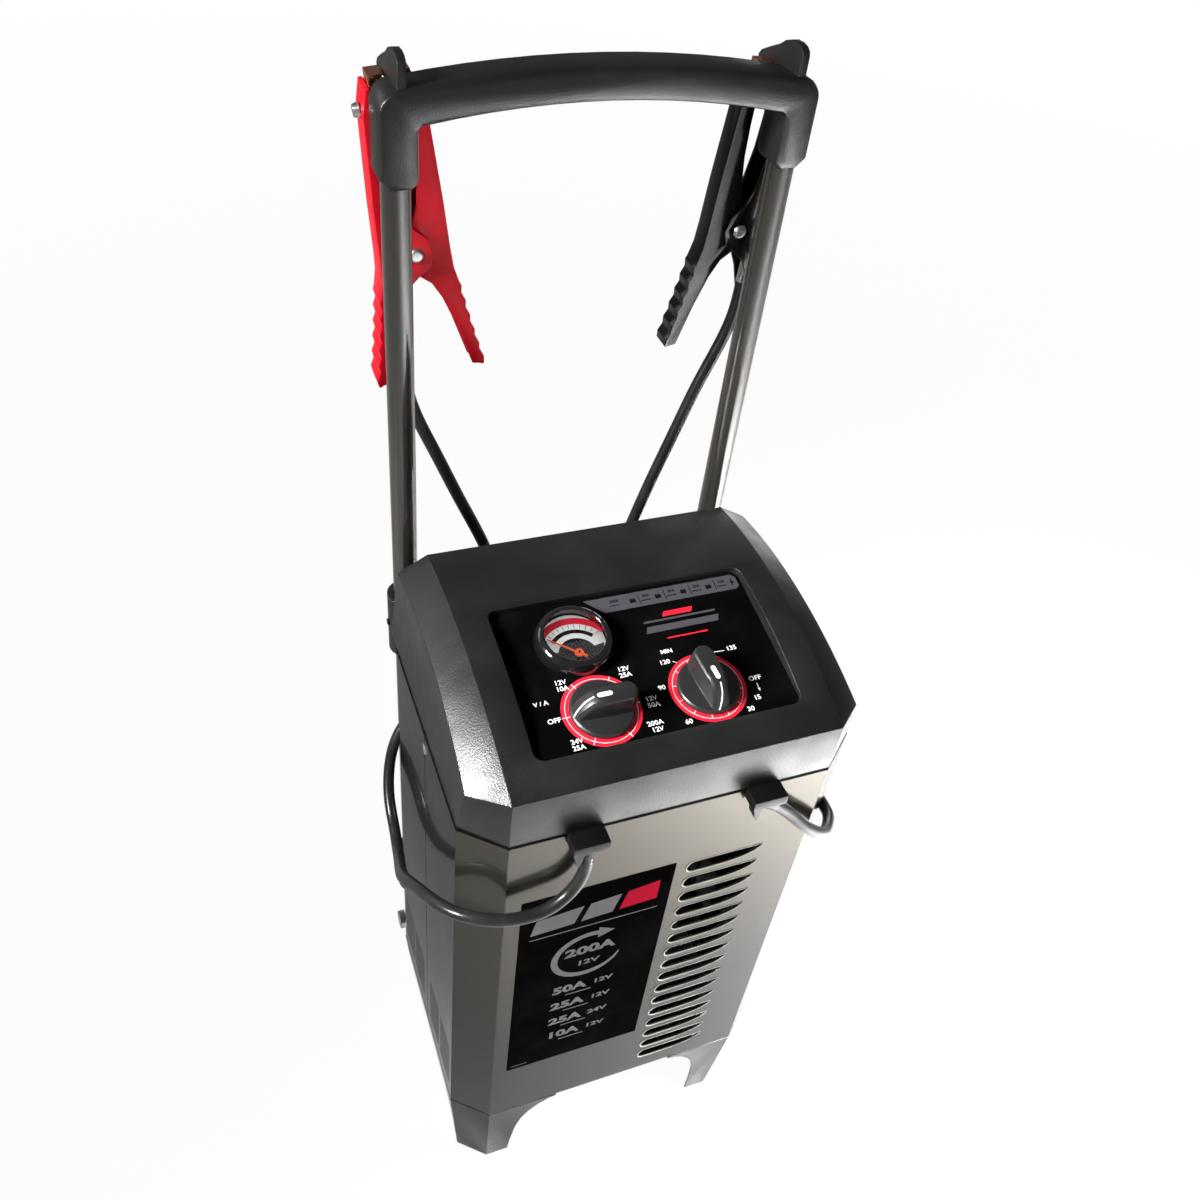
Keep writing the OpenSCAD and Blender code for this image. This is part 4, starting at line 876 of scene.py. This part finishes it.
# Shells and louvres as part.scad has them, in millimetres
BODY_X, FACE_X, CHAMFER_D, BODY_D, REAR_R = 143, 115, 24, 193, 8
BODY_TOP, BODY_FOOT, SEAM_DEPTH, SEAM_GAP = 508, 110, 104, 1.4
LOUVRE_X, LOUVRE_Z, LOUVRE_N, LOUVRE_PITCH, LOUVRE_L, LOUVRE_H = 20, 142, 16, 19.4, 60, 12.5
LOUVRE_KNEE = 0.45  # share of a louvre's length where its swept end starts
SIDE_SHIFT, FACE_SHIFT = 0.45, 0.35  # of the chamfer's corners along side and face, per mm of growth
SHADOW_BAND_H, SHADOW_BAND_IN, SHADOW_BAND_OUT = 3, -0.4, 0.12  # band of painted shadow in the joint under the cover, out from the face of the shells
SEAM_THICK, SEAM_SUNK, SEAM_FREE = 0.8, 0.9, 0.1  # strips of painted shadow in the joint between the shells
# A lip is a thin bead, which swells below the top edge of its louvre
LIP_R, LIP_SWELL, LIP_SUNK, LIP_TOP, LIP_SIDES = 0.25, 0.4, 0.2, 0.5, 6
SWELL_POINTS, SWELL_POWER = 15, 0.7  # points of the outline along which it swells and thins again


def piece_of(name, bm, material):
    """Object from a mesh drawn in millimetres across, behind the front panel and above the floor"""
    bmesh.ops.recalc_face_normals(bm, faces=bm.faces)
    mesh = bpy.data.meshes.new(name)
    bm.to_mesh(mesh)
    bm.free()
    mesh.transform(Matrix.Scale(MM, 4) @ Matrix.Translation((0, FRONT_Y, 0)))
    piece = bpy.data.objects.new(name, mesh)
    bpy.context.collection.objects.link(piece)
    dress(piece, material)
    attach(piece, "charger")


def body_outline(grow):
    """Plan of the shells, grown outward by a distance"""
    middle = (BODY_X - REAR_R, BODY_D - REAR_R)
    right = [around(middle, angle, REAR_R + grow) for angle in range(0, 91, 15)]
    front = [(-BODY_X - grow, CHAMFER_D - SIDE_SHIFT * grow), (-FACE_X - FACE_SHIFT * grow, -grow)]
    return front + [(-x, y) for x, y in front[::-1]] + right + [(-x, y) for x, y in right[::-1]]


def join_rings(bm, rings):
    """Faces between loops of equally many points, and from the last loop back to the first"""
    faces = []
    for ring, following in zip(rings, rings[1:] + rings[:1]):
        for i in range(len(ring)):
            j = (i + 1) % len(ring)
            faces.append(bm.faces.new((ring[i], ring[j], following[j], following[i])))
    return faces


def cover_seam():
    """Dark band of painted shadow in the joint between the cover's rim and the upper edge of the shells"""
    bm = bmesh.new()
    section = ((SHADOW_BAND_IN, BODY_TOP - SHADOW_BAND_H), (SHADOW_BAND_OUT, BODY_TOP - SHADOW_BAND_H),
               (SHADOW_BAND_OUT, BODY_TOP), (SHADOW_BAND_IN, BODY_TOP))
    join_rings(bm, [[bm.verts.new((x, y, z)) for x, y in body_outline(grow)] for grow, z in section])
    piece_of("cover_seam", bm, SHADOW_STRIP)


def shell_seams():
    """Dark strips of painted shadow between the front and rear shells, sunk in the open gap"""
    bm = bmesh.new()
    low, high = BODY_FOOT + SHADOW_BAND_H, BODY_TOP - SHADOW_BAND_H
    for side in (-1, 1):
        middle = Vector((side * (BODY_X - SEAM_SUNK), SEAM_DEPTH, (low + high) / 2))
        size = Matrix.Diagonal((SEAM_THICK, SEAM_GAP - SEAM_FREE, high - low, 1))
        bmesh.ops.create_cube(bm, size=1, matrix=Matrix.Translation(middle) @ size)
    piece_of("shell_seams", bm, SHADOW_STRIP)


def louvre_outline():
    """Edge of a louvre's opening, along it and upward: a round end, then a swept one"""
    half, knee = LOUVRE_H / 2, LOUVRE_KNEE * LOUVRE_L
    outline = [around((half, -half), angle, half) for angle in range(90, 271, 15)]
    for angle in range(0, 91, 10):
        a = math.radians(angle)
        outline.append((knee + (LOUVRE_L - knee) * math.sin(a), -LOUVRE_H * math.cos(a)))
    return outline


def louvre_lips():
    """Rolled edge around each louvre opening, which catches the light, in a paler paint that adds a painted
    highlight
    """
    outline = louvre_outline()
    circle = [(math.cos(TAU * k / LIP_SIDES), math.sin(TAU * k / LIP_SIDES)) for k in range(LIP_SIDES)]
    bm = bmesh.new()
    for row in range(LOUVRE_N):
        height = LOUVRE_Z + row * LOUVRE_PITCH
        rings = []
        for i, (u, v) in enumerate(outline):
            before, after = Vector(outline[i - 1]), Vector(outline[(i + 1) % len(outline)])
            out = (after - before).orthogonal().normalized()
            swell = math.sin(math.pi * min(1, i / SWELL_POINTS)) ** SWELL_POWER if v < -LIP_TOP else 0
            radius = LIP_R + LIP_SWELL * swell
            rings.append([bm.verts.new((LOUVRE_X + u + radius * c * out.x, radius * s - LIP_SUNK,
                                        height + v + radius * c * out.y)) for c, s in circle])
        for face in join_rings(bm, rings):
            face.smooth = True
    piece_of("louvre_lips", bm, LIP_HIGHLIGHT)


cover_seam()
shell_seams()
louvre_lips()

# ---------- floor and light ----------

FLOOR_NEAR, FLOOR_MIRRORED, WORLD_MIRRORED = 0.96, 0.1, 0.04  # shares of plain white
SHADOW_REACH, FLOOR_WHITE_AT, FLOOR_HALF = 1.2, 3.5, 40.0  # metres from the object
FLOOR_TONE, FLOOR_ROUGH, FLOOR_SHINE = 0.8, 0.9, 0.1
WORLD_LIGHT = 0.08
# Square lamps: place and aim in metres, then the side in metres, power in watts and spread in degrees.
# The pools light spots of the floor, which the paint mirrors.
LAMPS = {
    "key": ((-1.52, -0.24, 1.5), (-0.1, -0.1, 0.66), 0.5, 6.4, 34),
    "pool_right": ((0.62, -0.42, 0.34), (0.62, -0.42, 0), 0.4, 34, 180),
    "pool_near": ((0.47, -0.72, 0.25), (0.47, -0.72, 0), 0.18, 3.5, 180),
    "pool_front": ((0.75, -1.25, 0.6), (0.75, -1.25, 0), 0.6, 20, 180),
    "pool_far": ((1.0, -2.9, 1.0), (1.0, -2.9, 0), 1.2, 36, 180),
    "pool_rear": ((-1.1, 1.2, 1.2), (-0.8, 1.2, 0), 0.9, 4.5, 180),
    "rear": ((1.3, 1.5, 0.42), (0, 0.1, 0.3), 0.8, 1.0, 60),
    "fill": ((1.8, -1.4, 1.4), (0, 0, 0.4), 1.4, 16, 180)}
NOT_MIRRORED = "fill"


def backdrop_share(tree, mirrored):
    """Socket with the share of plain white: all for the camera and through glass, less in reflections"""
    path = tree.nodes.new("ShaderNodeLightPath")
    total = None
    for ray, share in (("Is Camera Ray", 1), ("Is Transmission Ray", 1), ("Is Glossy Ray", mirrored)):
        scaled = tree.nodes.new("ShaderNodeMath")
        scaled.operation = "MULTIPLY"
        scaled.inputs[1].default_value = share
        tree.links.new(path.outputs[ray], scaled.inputs[0])
        if total:
            largest = tree.nodes.new("ShaderNodeMath")
            largest.operation = "MAXIMUM"
            tree.links.new(total, largest.inputs[0])
            tree.links.new(scaled.outputs[0], largest.inputs[1])
            scaled = largest
        total = scaled.outputs[0]
    return total


def stage_floor():
    """Plain pale floor: near white to the camera, with the object's shadow kept, and white farther off"""
    mesh = bpy.data.meshes.new("floor")
    corners = [(x * FLOOR_HALF, y * FLOOR_HALF, 0) for x, y in ((-1, -1), (1, -1), (1, 1), (-1, 1))]
    mesh.from_pydata(corners, [], [(0, 1, 2, 3)])
    floor = bpy.data.objects.new("floor", mesh)
    bpy.context.collection.objects.link(floor)
    mat = bpy.data.materials.new("floor")
    mat.use_nodes = True
    tree = mat.node_tree
    shader = tree.nodes["Principled BSDF"]
    shader.inputs["Base Color"].default_value = (FLOOR_TONE, FLOOR_TONE, FLOOR_TONE, 1)
    shader.inputs["Roughness"].default_value = FLOOR_ROUGH
    shader.inputs["Specular IOR Level"].default_value = FLOOR_SHINE
    white = tree.nodes.new("ShaderNodeEmission")
    white.inputs["Color"].default_value = (1, 1, 1, 1)
    place = tree.nodes.new("ShaderNodeTexCoord")
    away = tree.nodes.new("ShaderNodeVectorMath")
    away.operation = "LENGTH"
    tree.links.new(place.outputs["Object"], away.inputs[0])
    fade = tree.nodes.new("ShaderNodeMapRange")
    for name, value in (("From Min", SHADOW_REACH), ("From Max", FLOOR_WHITE_AT),
                        ("To Min", FLOOR_NEAR), ("To Max", 1)):
        fade.inputs[name].default_value = value
    tree.links.new(away.outputs["Value"], fade.inputs["Value"])
    share = tree.nodes.new("ShaderNodeMath")
    share.operation = "MULTIPLY"
    tree.links.new(fade.outputs[0], share.inputs[0])
    tree.links.new(backdrop_share(tree, FLOOR_MIRRORED), share.inputs[1])
    mix = tree.nodes.new("ShaderNodeMixShader")
    tree.links.new(share.outputs[0], mix.inputs[0])
    tree.links.new(shader.outputs[0], mix.inputs[1])
    tree.links.new(white.outputs[0], mix.inputs[2])
    tree.links.new(mix.outputs[0], tree.nodes["Material Output"].inputs["Surface"])
    mesh.materials.append(mat)


def world():
    """Dim surroundings, which are white to the camera and through glass"""
    scene = bpy.context.scene
    scene.world = bpy.data.worlds.new("studio")
    scene.world.use_nodes = True
    tree = scene.world.node_tree
    back = tree.nodes["Background"]
    back.inputs["Color"].default_value = (1, 1, 1, 1)
    strength = tree.nodes.new("ShaderNodeMapRange")
    strength.inputs["To Min"].default_value = WORLD_LIGHT
    strength.inputs["To Max"].default_value = 1.0
    tree.links.new(backdrop_share(tree, WORLD_MIRRORED), strength.inputs["Value"])
    tree.links.new(strength.outputs[0], back.inputs["Strength"])


def lamp(name, place, aim, size, power, spread):
    """One of the lamps, which the camera never sees"""
    data = bpy.data.lights.new(name, "AREA")
    data.shape = "SQUARE"
    data.size = size
    data.energy = power
    data.spread = math.radians(spread)
    light = bpy.data.objects.new(name, data)
    bpy.context.collection.objects.link(light)
    light.visible_camera = False
    light.visible_glossy = name != NOT_MIRRORED
    light.location = place
    light.rotation_euler = (Vector(aim) - Vector(place)).to_track_quat("-Z", "Y").to_euler()


stage_floor()
world()
for name, values in LAMPS.items():
    lamp(name, *values)

bpy.context.scene.view_settings.view_transform = "Standard"
